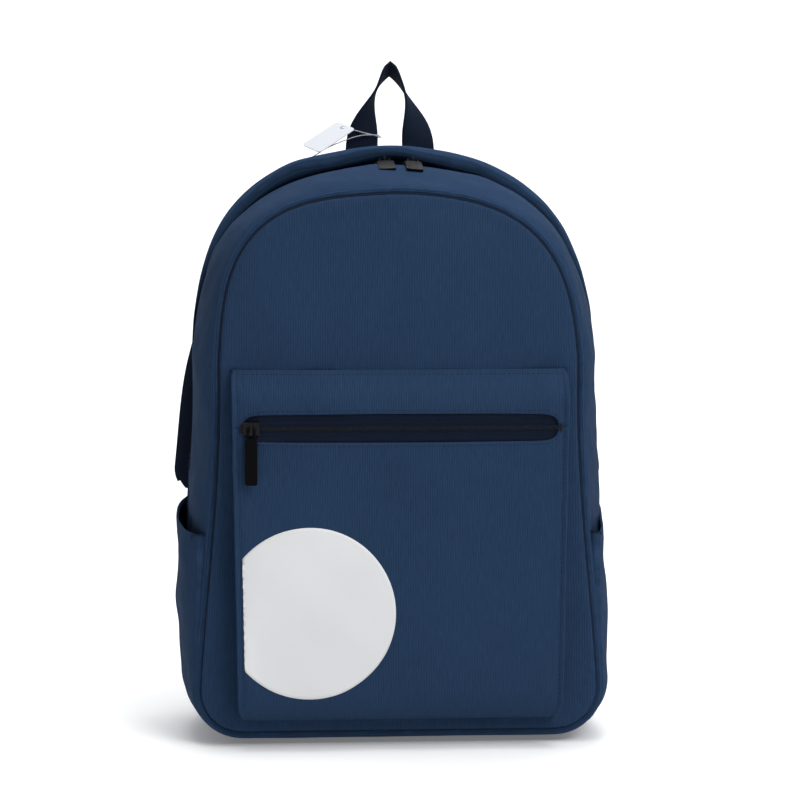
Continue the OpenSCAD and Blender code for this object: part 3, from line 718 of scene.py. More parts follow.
def band(name, line, rows_y, rows_out, materials, seed, seam_y, thickness=1.6 * MM):
    """A band round the bag, from arrays of depth and of height over the outline, with sag and pucker.

    The sag fades out over 12 mm at the seam and at the zip, and almost wholly on the base.
    """
    p = line.at(rows_y, rows_out)
    from_seam = np.abs(rows_y - seam_y)
    from_zip = np.abs(rows_y - (rows_y[:, -1:] if seam_y < 0 else rows_y[:, :1]))
    lift = sag(p, 2.2 * MM, seed, 0.085) * ease(from_seam / 0.012) * ease(from_zip / 0.012)
    lift = lift + pucker(np.repeat(line.s[:, None], from_seam.shape[1], 1), from_seam, seed=seed)
    lift = lift + side_bulge(rows_y, p[..., 2])
    lift = lift * (1 - 0.85 * ease((0.03 - p[..., 2]) / 0.02))
    p[..., 0] += line.n[:, None, 0] * lift
    p[..., 2] += line.n[:, None, 1] * lift
    obj = sheet(name, p, materials, line.uv(rows_y), closed_u=True)
    return thicken(obj, thickness, 1), p


# The section from the front seam back to the zip: depth, and height over the outline, in millimetres
f_y, f_out = np.array([
    [-58.6, -5.4], [-59.8, -4.4], [-60.6, -3.2], [-60.9, -1.9], [-60.6, -0.8], [-59.8, 0.1], [-58.4, 0.8],
    [-56.4, 1.3], [-53.2, 1.5], [-49.5, 1.4], [-45, 1.2], [-40, 1.0], [-34, 0.8], [-28, 0.6], [-22, 0.4],
    [-16, 0.3], [-11, 0.2], [-7, 0.1], [-4, 0]]).T * MM
zs = front_line.p[:, 1]
edge_y = ZIP_Y - ZIP_HALF * zip_open(zs)
w = np.linspace(0, 1, 5)[None, 1:]
f_rows = np.concatenate([np.repeat(f_y[None], len(zs), 0), mix(f_y[-1], edge_y[:, None], w)], 1)
f_rows = np.concatenate([f_rows, edge_y[:, None] + 0.1 * MM, edge_y[:, None] - 0.6 * MM], 1)
f_lift = np.concatenate([np.repeat(f_out[None], len(zs), 0), np.zeros((len(zs), 4))], 1)
fold = zip_open(zs)[:, None]
f_lift = np.concatenate([f_lift, -0.9 * MM * fold - 0.3 * MM, -1.8 * MM * fold - 0.6 * MM], 1)
gusset = band("front_band", front_line, f_rows, f_lift, [outer, lining], 11, FRONT_Y)[0]
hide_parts("front_gusset", "side_panel_left", "side_panel_right", "base_panel")
fold_with_flap(gusset)
print("front band", len(gusset.data.polygons))

# %% [markdown]
# The rear band carries the zip's other half. At the top its folded edge stands up as a soft lip that
# leans over the zip, and lower down it lies flat. The two shapes could be two sections joined by
# hand. Here one list of depths is mixed with another by height, so the lip grows out of the flat edge
# with no step.

# %% The rear band
rz = rear_line.p[:, 1]
top = ease((rz - 0.30) / 0.11)
near_zip = ZIP_Y + ZIP_HALF * zip_open(rz)

# How far the lip reaches down to the zip: the gap between the rear arch and the zip's lower circle,
# less a shallow arch of 3.5 mm over the two sliders
from_top = np.arcsin(np.clip(rear_line.p[:, 0] / ARCH_R, -1, 1)) + (rz < ARCH_Z) * 9.0
gap_to_zip = (ARCH_Z - ZIP_Z) * np.clip((rz - ARCH_Z) / ARCH_R, 0, 1)
reach = np.clip(gap_to_zip - 1.6 * MM, 0.6 * MM, 10.5 * MM) - 3.5 * MM * np.exp(-(from_top / 0.22) ** 2)
reach = reach[:, None]
lip_y = np.array([8.0, 4.0, 1.4, 0.1, 0.0, 0.9, 2.6, 5.0, 8.6, 13.0]) * MM
lip_in = np.array([-1.18, -1.12, -0.95, -0.66, -0.34, -0.02, 0, 0, 0, 0])
lip_up = np.array([0, 0, 0, 0, 0, 0.5, 1.3, 1.7, 1.4, 0.6]) * MM
flat_y = np.array([5.0, 2.4, 0.9, 0.1, 0.0, 0.6, 1.8, 4.0, 8.0, 12.5]) * MM
lip_rows = mix(flat_y[None], lip_y[None], top[:, None])
lip_lift = reach * lip_in + top[:, None] * lip_up - 0.4 * MM * (lip_in < -0.3)
r_y = np.array([30.5, 32, 34, 37, 42, 47, 51, 54, 56, 57.2, 58.0, 58.2, 58.0]) * MM
r_out = np.array([0, 0, 0, 0, 0, 0, 0, 0, 0, -0.15, -0.6, -1.4, -2.6]) * MM
r_rows = np.concatenate([near_zip[:, None] + lip_rows, np.repeat(r_y[None], len(rz), 0)], 1)
r_lift = np.concatenate([lip_lift, np.repeat(r_out[None], len(rz), 0)], 1)
# The rear band takes the lighter navy: a painted highlight on its lip.
rear, rear_p = band("rear_band", rear_line, r_rows, r_lift, [rear_cloth_painted_lighter, lining], 23, REAR_Y, 0.8 * MM)
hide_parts("rear_gusset")
fixed(rear)
print("rear band", len(rear.data.polygons))

# %% [markdown]
# The front panel is one domed piece. It fills out over the books and lies flatter behind the pocket.
# A square grid would have to be trimmed along the seam. A fan of lines is used, from every station of
# the seam to a short upright line in the middle, so its edge is the seam exactly.

# %% The front panel
SPINE = (0.150, 0.268)
RIM_Y = FRONT_Y
PANEL_DOME = 8 * MM
LOW_DOME = 3 * MM


def panel_y(z, rho):
    """Depth of the front panel: the seam's depth less a dome that falls as rho cubed towards the rim."""
    dome = mix(LOW_DOME, PANEL_DOME, ease((z - 0.255) / 0.02))
    return RIM_Y - dome * (1 - rho ** 3)


def fan(line, rim_out, rim_y, inner, depth, spine=SPINE):
    """Rings from a rim to an upright line. The first rows are given as (inset, depth) pairs."""
    rim = line.at(np.array([rim_y]), 0.0)[:, 0]
    n3 = np.stack([line.n[:, 0], line.n[:, 0] * 0, line.n[:, 1]], -1)
    rows = [rim - n3 * inset + np.array([0, dy, 0]) for inset, dy in rim_out]
    start = rim - n3 * rim_out[-1][0]
    goal = np.stack([start[:, 0] * 0, start[:, 1], np.clip(start[:, 2], *spine)], -1)
    for k in inner:
        q = start + (goal - start) * k
        q[:, 1] = depth(q[:, 2], 1 - k)
        rows.append(q)
    return np.stack(rows, 1)


rolled = np.array([[5.2, 3.2], [4.3, 2.2], [3.9, 1.1], [4.1, 0.1], [4.8, -0.7], [5.9, -1.2]]) * MM
ks = np.concatenate([np.linspace(0.015, 0.2, 9), np.linspace(0.24, 0.97, 30), [1.0]])
panel_depth = lambda z, rho: panel_y(z, rho) - 1.4 * MM * ease((rho - 0.5) * 2)
panel_p = fan(front_line, rolled, RIM_Y, ks, panel_depth)
d = np.concatenate([np.linspace(0, 0.003, len(rolled)), 0.003 + ks * 0.13])[None]
away = ease(d / 0.02)
panel_p[..., 1] += sag(panel_p, 2.3 * MM, 31, 0.12) * away
s_front = np.repeat(front_line.s[:, None], d.shape[1], 1)
panel_p[..., 1] -= pucker(s_front, np.repeat(d, len(front_line.s), 0), 0.4 * MM, seed=5)
panel = sheet("front_panel", panel_p, [outer, lining], panel_p[..., [0, 2]], closed_u=True)
merge(panel)
thicken(panel, 1.6 * MM, 1)
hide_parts("front_panel_upper", "front_panel_lower")
fold_with_flap(panel)
print("front panel", len(panel.data.polygons))

# %% [markdown]
# Inside, the raw edges of the seams are wrapped in a narrow woven tape. It could be part of the
# bands. It's a profile carried along each seam, because a separate piece takes its own weave and can
# be left out of the count of the outer cloth.

# %% Seam bindings
front_rim = front_line.at(np.array([-59.0 * MM]), -5.2 * MM)[:, 0]
front_bind = sweep("front_seam_binding", np.concatenate([front_rim, front_rim[:1]]), np.array([0, 1.0, 0]),
                   round_ring(1.2 * MM, 3.0 * MM, 3, 12), binding)
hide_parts("front_binding_upper", "front_binding_lower")
fold_with_flap(front_bind)
rear_rim = rear_line.at(np.array([53.5 * MM]), -4.6 * MM)[:, 0]
rear_bind = sweep("rear_seam_binding", np.concatenate([rear_rim, rear_rim[:1]]), np.array([0, 1.0, 0]),
                  round_ring(1.2 * MM, 3.0 * MM, 3, 12), binding)
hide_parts("rear_binding")
fixed(rear_bind)

# %% [markdown]
# The front pocket is a box of cloth. Its sides stand out from the front panel, and the corner where
# each side meets the face is pinched into a fin and topstitched. The fins run on up the sloping top
# strip, and the face rolls under at the bottom. A cube with bevels would lose the fins. One section,
# drawn from the root over the fin to the face, is carried up the pocket, and the slot for the zip is
# left between two sets of rows.

# %% The front pocket's surface
slider_lo, slider_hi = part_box("pocket_slider")
P_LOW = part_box("pocket_face")[0].z
P_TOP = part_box("pocket_top_strip")[1].z
P_HALF_LOW = 116 * MM
P_HALF_TOP = 120 * MM
P_ZIP = (slider_lo.z + slider_hi.z) / 2
P_SLOT_TOP = P_ZIP + 11 * MM
P_ROLL = 27 * MM


def pocket_half(z):
    """Half the pocket's width, with its lower corners rounded by a quarter of an ellipse."""
    e = mix(P_HALF_LOW, P_HALF_TOP, (z - P_LOW) / (P_TOP - P_LOW))
    k = np.clip((P_LOW + 20 * MM - z) / (20 * MM), 0, 1)
    return e - 7 * MM * (1 - np.sqrt(1 - np.minimum(k, 1) ** 2.4 + 1e-9))


def pocket_rise(z):
    """How far the face stands out: a quarter round at the bottom, full, then a convex slope at the top."""
    low = np.clip((P_LOW + P_ROLL - z) / P_ROLL, 0, 1)
    up = np.clip((z - P_SLOT_TOP) / (P_TOP - P_SLOT_TOP), 0, 1)
    return (1 - low ** 2.3) ** 0.62 * (1 - up ** 2.8 * 0.85)


SECTION = np.array([
    [0.6, -61.2], [0.9, -63.0], [1.0, -66.0], [0.7, -70.0], [0.0, -74.5], [-0.7, -78.5], [-0.9, -80.8],
    [-0.5, -82.4], [0.3, -83.8], [0.95, -85.0], [1.0, -85.9], [0.5, -86.4], [-0.3, -86.35], [-1.2, -85.9],
    [-2.1, -85.25], [-2.8, -84.8], [-3.5, -85.0], [-4.3, -85.35], [-5.4, -85.6]]) * MM
from_fin = [0.004, 0.010, 0.018, 0.028, 0.040, 0.055, 0.075, 0.1]
face_u = 1 - np.concatenate([from_fin, np.linspace(0.13, 1, 29)])
n_sec = len(SECTION)


def pocket_grid(z):
    """Rows of the pocket from its right root, over the fin and face, to its left root. z has one value
    per row, or one per point. The face's crown is 1.2 mm, and grows towards the middle."""
    z = np.broadcast_to(np.atleast_2d(z).T if np.ndim(z) == 1 else z, (len(z), 2 * (n_sec + len(face_u)) - 1))
    e = pocket_half(z)
    m = n_sec + len(face_u)
    sec_x = np.concatenate([SECTION[:, 0], np.zeros(len(face_u))])
    sec_y = np.concatenate([SECTION[:, 1], np.zeros(len(face_u))])
    flat_half = e[:, :m] + SECTION[-1, 0]
    x = e[:, :m] + sec_x
    x[:, n_sec:] = flat_half[:, n_sec:] * face_u
    y = np.broadcast_to(sec_y, x.shape).copy()
    y[:, n_sec:] = SECTION[-1, 1] - 1.3 * MM * (1 - face_u ** 2)
    x = np.concatenate([x, -x[:, -2::-1]], 1)
    y = np.concatenate([y, y[:, -2::-1]], 1)
    root = panel_y(z, np.clip(np.abs(x) / 0.134, 0, 1)) + 0.8 * MM
    root = np.where(z > P_SLOT_TOP, root, mix(-61.2 * MM, root, ease((z - 0.2) / 0.04)))
    root = np.maximum(root, -70.5 * MM)
    out = np.where(y < -61.3 * MM, root + (y - root) * pocket_rise(z), root)
    p = np.stack([x, out, z + np.zeros_like(x)], -1)
    inner = ease((e - np.abs(x) - 3 * MM) / (12 * MM)) * ease((z - P_LOW - 8 * MM) / (20 * MM))
    near_slot = ease(np.abs(z - P_ZIP) / (25 * MM)) * 0.85 + 0.15
    p[..., 1] += sag(p, 2.2 * MM, 41, 0.10) * inner * near_slot
    side_part = np.clip((np.abs(x) - e + 2 * MM) / (2 * MM), 0, 1)
    side_part = side_part * ease((-y - 62 * MM) / (6 * MM)) * ease((-y - 83 * MM) / (-3 * MM))
    p[..., 0] += np.sign(x) * soft(p, 0.045, 43) * 0.9 * MM * side_part
    groove_x = e - 2.8 * MM
    puckers = pucker(z + np.zeros_like(x), np.abs(np.abs(x) - groove_x), 0.35 * MM, 0.009, 0.007, 45)
    p[..., 1] += puckers * (np.abs(x) < groove_x)
    return p


SLOT_HALF = pocket_half(np.array([P_ZIP]))[0] - 6.6 * MM


def slot(x):
    """Half the height of the slot over the zip: a long lens with full, rounded ends."""
    k = np.clip(np.abs(x) / SLOT_HALF, 0, 1)
    return 10.6 * MM * np.maximum(1 - k ** 30, 0) ** (1 / 2.1) * (1 - 0.07 * k ** 2)


def crowd(n, power):
    """Values from 0 to 1 that crowd together towards 1."""
    return 1 - (1 - np.linspace(0, 1, n)) ** power


base_grid = pocket_grid(np.array([P_ZIP]))[0]
slot_h = slot(base_grid[:, 0])
low_v = np.concatenate([np.linspace(0, 1, 16)[:-1] ** 1.3 * 0.13, mix(0.13, 1.0, crowd(46, 1.25))])
low_z = mix(P_LOW, (P_ZIP - slot_h)[None], low_v[:, None])
top_z = mix((P_ZIP + slot_h)[None], P_TOP, np.linspace(0, 1, 16)[:, None])
low_p = pocket_grid(low_z)
top_p = pocket_grid(top_z)


def turned_edge(rows, direction):
    """Adds the slot's folded edge: the last row rolls back into the pocket."""
    edge = rows[-1] if direction > 0 else rows[0]
    k = np.clip(slot_h / (3 * MM), 0, 1)[:, None]
    a = edge + np.array([0, 0.5, 0.35 * direction]) * MM * k
    b = edge + np.array([0, 1.3, 0.1 * direction]) * MM * k
    c = edge + np.array([0, 1.7, -0.9 * direction]) * MM * k
    return np.concatenate([rows, [a, b, c]]) if direction > 0 else np.concatenate([[c, b, a], rows])


low_rows = turned_edge(low_p, 1)
top_rows = turned_edge(top_p, -1)
lead_in = low_rows[:1] + np.array([0, 1.2, -1.2]) * MM
# The strip's upper edge turns in on itself, and goes down behind to the panel
hem_turns = np.array([[0, 0.35, 0.50], [0, 1.1, 0.80], [0, 2.2, 0.65], [0, 3.4, -0.1], [0, 5.0, -1.2]]) * MM
hem_top = top_rows[-1:] + hem_turns[:, None]


def pocket_piece(name, rows):
    """A pocket panel, mapped by its width and height so that the ribs stand upright."""
    across = distances(rows[len(rows) // 2])
    uv = np.stack([np.repeat(across[None], len(rows), 0), rows[..., 2]], -1)
    obj = sheet(name, rows, [outer, lining], uv, away=(0, -0.06, 0.15))
    return merge(obj)


pocket_low = pocket_piece("pocket_panel", np.concatenate([lead_in, low_rows]))
pocket_high = pocket_piece("pocket_top_strip_cloth", np.concatenate([top_rows, hem_top]))
thicken(pocket_low, 0.5 * MM, 1)
thicken(pocket_high, 0.5 * MM, 1)
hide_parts("pocket_face", "pocket_gusset")
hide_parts("pocket_top_strip")
fixed(pocket_low)
fold_with_flap(pocket_high)
print("pocket", len(pocket_low.data.polygons), len(pocket_high.data.polygons), round(SLOT_HALF, 4))

# %% [markdown]
# Topstitching holds the fins and the edges of the slot. It could be painted as a dashed line, but
# real thread stands proud and catches the light. Each stitch is a small capsule laid along the same
# surface that the cloth was made from. The row along the pocket's top is an object of its own, fastened
# to no body, like the strip under it.

# %% Pocket stitching
def grid_path(rows, column):
    """One column of a grid as a path, with the normals there."""
    n = grid_normals(rows)
    n = n * np.sign((n * np.array([0, -1, 0])).sum(-1, keepdims=True) + 1e-9)
    return rows[:, column], n[:, column]


groove = 15
rows = []
for column in (groove, low_p.shape[1] - 1 - groove):
    rows.append(stitches(*grid_path(low_p[2:], column)))
    rows.append(stitches(*grid_path(top_p, column)))
inside = slice(n_sec + 1, low_p.shape[1] - n_sec - 1)
forward = np.array([0, -1.0, 0])
low_line = pocket_grid((P_ZIP - slot_h)[None] - 2.2 * MM)[0, inside]
top_line = pocket_grid((P_ZIP + slot_h)[None] + 2.2 * MM)[0, inside]
rows.append(stitches(low_line, forward))
rows.append(stitches(top_line, forward))
seam_line = pocket_grid(np.full((1, low_p.shape[1]), P_TOP - 2.4 * MM))[0, 17:-17]
sew("pocket_stitching", rows, "pack", thread)
top_seam = outward(add_mesh("pocket_top_stitching", *stitches(seam_line, forward), thread))
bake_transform(top_seam)

# %% [markdown]
# The print is a plain white disc pressed onto the pocket's lower left. It could be a colour in the
# cloth's material, with a mask. A thin film of its own keeps a clean edge at any distance. It follows
# the cloth exactly and stops at the stitched groove of the left fin.

# %% The print
print_lo, print_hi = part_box("pocket_print")


def pocket_at(x, z):
    """Points of the pocket's face at given x and z: straight interpolation along each of its rows."""
    g = pocket_grid(z)
    i = np.clip((g[..., 0] > x[:, None]).sum(1) - 1, 0, g.shape[1] - 2)
    r = np.arange(len(x))
    a, b = g[r, i], g[r, i + 1]
    k = (a[:, 0] - x) / np.maximum(a[:, 0] - b[:, 0], 1e-9)
    p = mix(a, b, np.clip(k, 0, 1)[:, None])
    p[:, 0] = x
    return p


DISC_R = 0.062
ang = np.linspace(0, tau, 145)[:-1]
rad = DISC_R * np.linspace(0, 1, 26) ** 0.8
px = print_hi.x - DISC_R + rad[:, None] * np.cos(ang)
pz = (print_lo.z + print_hi.z) / 2 + rad[:, None] * np.sin(ang)
px = np.maximum(px, -(pocket_half(pz) - 4.4 * MM))
disc_p = pocket_at(px.ravel(), pz.ravel()).reshape(26, 144, 3) + np.array([0, -0.3 * MM, 0])
disc = merge(sheet("round_print", disc_p, film, disc_p[..., [0, 2]], closed_v=True, away=(0, 0.5, 0.1)))
thicken(disc, 0.2 * MM)
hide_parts("pocket_print")
fixed(disc)

# %% [markdown]
# The zips have a nylon coil, whose loops mesh along the middle. A bump pattern would look flat from
# the side, where zips are mostly seen. So each loop is a short capsule across the tape, at the real
# pitch of 1.35 mm.

# %% Coil loops
COIL_PITCH = 1.35 * MM


def loops(path, normal, offset):
    """One row of coil loops: short capsules across a path, at even spaces, offset to one side."""
    q, n = resample(path, normal, COIL_PITCH)
    t = unit(np.gradient(q, axis=0))
    n = unit(n - (n * t).sum(-1, keepdims=True) * t)
    b = np.cross(t, n)
    q = q + b * offset + t * (0.25 * COIL_PITCH * np.sign(offset))
    x = np.array([-0.5, -0.3, 0.3, 0.5]) * 2.0 * MM
    s = np.array([0.45, 1.0, 1.0, 0.45]) * 0.45 * MM
    a = np.arange(6) * tau / 6
    ring = np.stack([np.cos(a), np.sin(a)], -1)
    p = q[:, None, None] + b[:, None, None] * x[:, None, None]
    p = p + t[:, None, None] * (s[:, None, None] * ring[None, :, :1])
    p = p + n[:, None, None] * (s[:, None, None] * ring[None, :, 1:])
    f = grid_faces(4, 6, False, True)
    caps = np.array([[0, 1, 2, 3], [0, 3, 4, 5], [21, 20, 19, 18], [23, 22, 21, 18]])
    f = np.concatenate([f, caps])
    return p.reshape(-1, 3), (f[None] + 24 * np.arange(len(q))[:, None, None]).reshape(-1, 4)

# %% [markdown]
# The pocket's zip lies in its slot: two tapes in one sheet, two rows of loops, and a row of stitches
# on each side. The sheet could be left out, as little of it shows, but it closes the slot, and its
# ripple gives the dark band its edge.

# %% The pocket's zip
tape_lo, tape_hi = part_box("pocket_zip_tape")
coil_lo, coil_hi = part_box("pocket_zip_coil")
tx = np.linspace(tape_lo.x - 1 * MM, tape_hi.x + 1 * MM, 120)
tz = np.linspace(-13.5, 13.5, 19) * MM
tape_p = np.stack(np.broadcast_arrays(tx[:, None], 0.0, P_ZIP + tz[None]), -1).astype(float)
tape_p[..., 1] = soft(tape_p, 0.05, 51) * 0.25 * MM
tape_p[..., 1] += tape_lo.y + 0.25 * MM - 0.25 * MM * np.cos(tz / (13.5 * MM) * np.pi * 3)
pocket_tape = sheet("pocket_zip_tapes", tape_p, [tape], tape_p[..., [2, 0]], away=(0, 0.3, 0.2))
thicken(pocket_tape, 0.6 * MM)
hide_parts("pocket_zip_tape")
fixed(pocket_tape)
coil_y = (coil_lo.y + coil_hi.y) / 2
line = np.stack([np.linspace(coil_lo.x, coil_hi.x, 200), np.full(200, coil_y), np.full(200, P_ZIP)], -1)
v, f = join_rows([loops(line, np.tile([0, -1.0, 0], (200, 1)), o) for o in (-0.75 * MM, 0.75 * MM)])
pocket_coil = outward(add_mesh("pocket_zip_loops", v, f, coil_black))
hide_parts("pocket_zip_coil")
fixed(pocket_coil)
tape_y = np.full(120, tape_lo.y - 0.1 * MM)
tape_rows = [np.stack([tx, tape_y, np.full(120, P_ZIP + s)], -1) for s in (-5.6 * MM, 5.6 * MM)]
sew("pocket_tape_stitching", [stitches(r, forward, 2.2 * MM) for r in tape_rows], "pack", dark_thread)

# %% [markdown]
# The main zip runs over the arch and on down both sides. Its rear tape is fastened to the bag's body,
# and its front tape isn't. One strip could be bent at the top, but then the zip could never open.
# Two tapes part cleanly, and their loops meet when it's shut.

# %% The main zip's tapes and coil
on_zip = front_line.p[:, 1] > ZIP_LOW
zip_p = front_line.p[on_zip]
zip_n = front_line.n[on_zip]
ZIP_SET_IN = 2.8 * MM


def zip_row(depth, lift=0.0):
    """The zip's path over the arch at a depth, as points and outward normals."""
    p = zip_p - zip_n * (ZIP_SET_IN - lift - front_line.full[on_zip] * SHOULDER_REAR)[:, None]
    z = np.zeros(len(p))
    return np.stack([p[:, 0], z + depth, p[:, 1]], -1), np.stack([zip_n[:, 0], z, zip_n[:, 1]], -1)


def tape_sheet(name, depths):
    """A tape over the arch between two depths."""
    rows = np.stack([zip_row(y)[0] for y in depths], 1)
    rows += sag(rows, 0.3 * MM, 61, 0.05)[..., None] * zip_row(ZIP_Y)[1][:, None]
    s = np.repeat(front_line.s[on_zip][:, None], len(depths), 1)
    obj = sheet(name, rows, [tape], np.stack([np.broadcast_to(depths, s.shape), s], -1))
    return thicken(obj, 0.8 * MM)


front_tape = tape_sheet("main_zip_front_tape", np.linspace(ZIP_Y - 12 * MM, ZIP_Y - 0.2 * MM, 9))
v, f = loops(*zip_row(ZIP_Y, 0.9 * MM), 0.75 * MM)
front_coil = outward(add_mesh("main_zip_front_loops", v, f, coil_black))
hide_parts("main_zip_front")
for piece in (front_tape, front_coil):
    fold_with_flap(piece)
rear_tape = tape_sheet("main_zip_rear_tape", np.linspace(ZIP_Y + 0.2 * MM, ZIP_Y + 13 * MM, 9))
v, f = loops(*zip_row(ZIP_Y, 0.9 * MM), -0.75 * MM)
rear_coil = outward(add_mesh("main_zip_rear_loops", v, f, coil_black))
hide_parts("main_zip_rear")
for piece in (rear_tape, rear_coil):
    fixed(piece)

# %% [markdown]
# Behind the lip, a strip of cloth joins the rear band to the rear tape. It's hardly seen when the bag
# is shut, and closes it when it's open. It could be more rows of the rear band, but the band's edge
# turns under there. A short ruled sheet between the two edges follows both of them. A small tab
# closes the zip at each end.

# %% The strip between the rear lip and the rear tape, and the zip's end tabs
beside_zip = rear_line.p[:, 1] > ZIP_LOW
lip_edge = rear_p[beside_zip, 0]
phi = np.arctan2(lip_edge[:, 0], np.maximum(lip_edge[:, 2] - ARCH_Z, 0) + 1e-6)
phi = phi * (np.pi / 2 - np.arcsin((ARCH_Z - ZIP_Z) / ARCH_R)) / (np.pi / 2)
on_arch = lip_edge[:, 2] > ARCH_Z
r_foot = ARCH_R - ZIP_SET_IN + SHOULDER_REAR * shoulder_fullness(np.abs(phi), lip_edge[:, 0])
foot_x = np.where(on_arch, r_foot * np.sin(phi), lip_edge[:, 0] - 1.2 * MM * np.sign(lip_edge[:, 0]))
foot_z = np.where(on_arch, ZIP_Z + r_foot * np.cos(phi), lip_edge[:, 2])
foot_edge = np.stack([foot_x, np.full(len(phi), ZIP_Y + 12 * MM), foot_z], -1)
k = np.linspace(0, 1, 8)[None, :, None]
strip_p = mix(lip_edge[:, None], foot_edge[:, None], k)
# Over the arch the strip bellies back by 4 mm. Along the sides it's tucked in 3.4 mm under the band.
flat_side = ease((ARCH_Z + 0.03 - lip_edge[:, 2:]) / 0.05)
strip_p[..., 1] += 4 * MM * np.sin(k[..., 0] * np.pi) * (1 - flat_side)
inwards = -np.stack([rear_line.n[beside_zip, 0], flat_side[:, 0] * 0, rear_line.n[beside_zip, 1]], -1)
strip_p += inwards[:, None] * (3.4 * MM * flat_side[:, None] * ease(k / 0.3))
s = np.repeat(rear_line.s[beside_zip][:, None], 8, 1)
strip_uv = np.stack([k[..., 0] * 0.015 + s * 0, s], -1)
# The strip takes the rear band's lighter navy, whose extra lightness is a painted highlight.
strip = sheet("rear_zip_strip", strip_p, [rear_cloth_painted_lighter, lining], strip_uv, away=(0, 0.3, 0.2))
thicken(strip, 1.2 * MM, 1)
fixed(strip)


def pillow(name, centre, half_size, thick, materials, corner=0.06, power=6, n=30, axis=1):
    """A closed pad: two faces whose gap is thick * ((1 - |u|^p)(1 - |v|^p))^0.6, with rounded corners."""
    a = np.sin(np.linspace(-np.pi / 2, np.pi / 2, n))
    u, v = np.meshgrid(a, a, indexing="ij")
    x = half_size[0] * u * (1 - corner * v ** 8)
    z = half_size[1] * v * (1 - corner * half_size[0] / half_size[1] * u ** 8)
    g = thick / 2 * np.maximum((1 - np.abs(u) ** power) * (1 - np.abs(v) ** power), 0) ** 0.6
    f = grid_faces(n, n)
    verts = np.concatenate([np.stack([x, s * g, z], -1).reshape(-1, 3) for s in (-1, 1)])
    if axis == 0:
        verts = verts[:, [1, 0, 2]]
    verts = verts + np.array(centre)
    uv = np.tile(np.stack([x, z], -1).reshape(-1, 2), (2, 1))
    faces = np.concatenate([f, f[:, ::-1] + n * n])
    return outward(merge(add_mesh(name, verts, faces, materials, uv), 1e-6))


rear_right = rear_line.p[len(rear_line.p) // 2:][::-1]
end_x = np.interp(ZIP_LOW + 2 * MM, rear_right[:, 1], rear_right[:, 0]) + 0.3 * MM
for side, label in ((-1, "left"), (1, "right")):
    centre = (side * end_x, ZIP_Y, ZIP_LOW + 1 * MM)
    tab = pillow("zip_end_" + label, centre, (8 * MM, 6.5 * MM), 2.4 * MM, binding, n=16, axis=0)
    fixed(tab)
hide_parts("zip_ends_front")
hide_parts("zip_ends_rear")

# %% [markdown]
# Sliders, pull tabs, stops and ladder locks are hard parts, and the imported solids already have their
# shapes. They could be modelled again. A copy with rounded edges is enough, because the edges are
# what catches the light, and the copy can't drift from the solid.

# %% Hard parts with rounded edges
def soften(node, name, material, radius, body, segments=3):
    """A copy of a packed hard part: merged, cleaned, and bevelled along its edges."""
    src = bpy.data.objects[node]
    mesh = src.data.copy()
    mesh.transform(src.matrix_world)
    mesh.materials.clear()
    mesh.materials.append(material)
    bm = bmesh.new()
    bm.from_mesh(mesh)
    bmesh.ops.remove_doubles(bm, verts=bm.verts, dist=5e-6)
    bmesh.ops.dissolve_limit(bm, angle_limit=0.03, verts=bm.verts, edges=bm.edges)
    bm.to_mesh(mesh)
    bm.free()
    mesh.polygons.foreach_set("use_smooth", np.ones(len(mesh.polygons), bool))
    mesh.polygons.foreach_set("material_index", np.zeros(len(mesh.polygons), np.int32))
    obj = bpy.data.objects.new(name, mesh)
    bpy.context.scene.collection.objects.link(obj)
    b = obj.modifiers.new("edges", "BEVEL")
    b.width = radius
    b.segments = segments
    b.limit_method = "ANGLE"
    b.angle_limit = 0.6
    b.harden_normals = False
    obj.modifiers.new("normals", "WEIGHTED_NORMAL").keep_sharp = True
    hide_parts(node)
    fixed(obj, body)
    return obj


for side in ("left", "right"):
    slider = "main_slider_" + side
    puller = "main_puller_" + side
    soften(slider, "zip_slider_" + side, enamel, 0.3 * MM, slider)
    soften(puller, "pull_tab_" + side, gloss_black, 0.45 * MM, puller)
soften("pocket_slider", "pocket_zip_slider", enamel, 0.3 * MM, "pocket_slider")
soften("pocket_puller", "pocket_pull_tab", gloss_black, 0.45 * MM, "pocket_puller")
soften("pocket_zip_stops", "pocket_end_stops", enamel, 0.15 * MM, "pack")

# %% [markdown]
# The carry loop is one length of ribbed webbing. Its ends lie flat against the top, and it twists
# edge on as it rises. At the top it tips forward, so that a little of its face shows as an upturned
# V. A curve with a bevel twists badly at its top. Here the sideways direction is given at every
# point, so the twist is where the real one is.

# %% The carry loop
LOOP_X = 21.5 * MM
LOOP_Y = REAR_Y + 4 * MM
LOOP_Z = 430 * MM
LOOP_H = 62.5 * MM
LOOP_W = 24.5 * MM
lt = np.linspace(-1, 1, 91)
la = 1 - np.abs(lt)
lx = np.sign(lt) * LOOP_X * (1 - la ** 1.7) ** 0.9
lz = LOOP_Z + LOOP_H * mix(la, np.sin(la * np.pi / 2), 0.22)
path = np.stack([lx, np.full(91, LOOP_Y), lz], -1)
tail = np.array([[0, 0, -9.0], [0, 0, -4.5]]) * MM
path = np.concatenate([path[:1] + tail, path, path[-1:] + tail[::-1]])
turn = np.concatenate([[0, 0], np.pi / 2 * ease(np.minimum(1, 1.3 * la)), [0, 0]])
tip = -np.radians(32) * ease((np.concatenate([[0, 0], la, [0, 0]]) - 0.66) / 0.34)
across = np.stack([np.cos(turn), np.sin(turn) * np.cos(tip), np.sin(turn) * np.sin(tip)], -1)
ahead = unit(np.gradient(path, axis=0))
across = unit(across - (across * ahead).sum(-1, keepdims=True) * ahead)
out = unit(np.cross(across, ahead))
width = LOOP_W * mix(1.0, 0.8, np.sin(turn)) / 2
ring = round_ring(1.0, 1.0, 8, 28)
ring[:, 1] *= 0.85 * MM
thick_edge = 1 + 0.25 * (np.abs(ring[:, 0]) > 0.8)
pts = path[:, None] + across[:, None] * (width[:, None] * ring[None, :, 0])[..., None]
pts = pts + out[:, None] * (ring[:, 1] * thick_edge)[None, :, None]
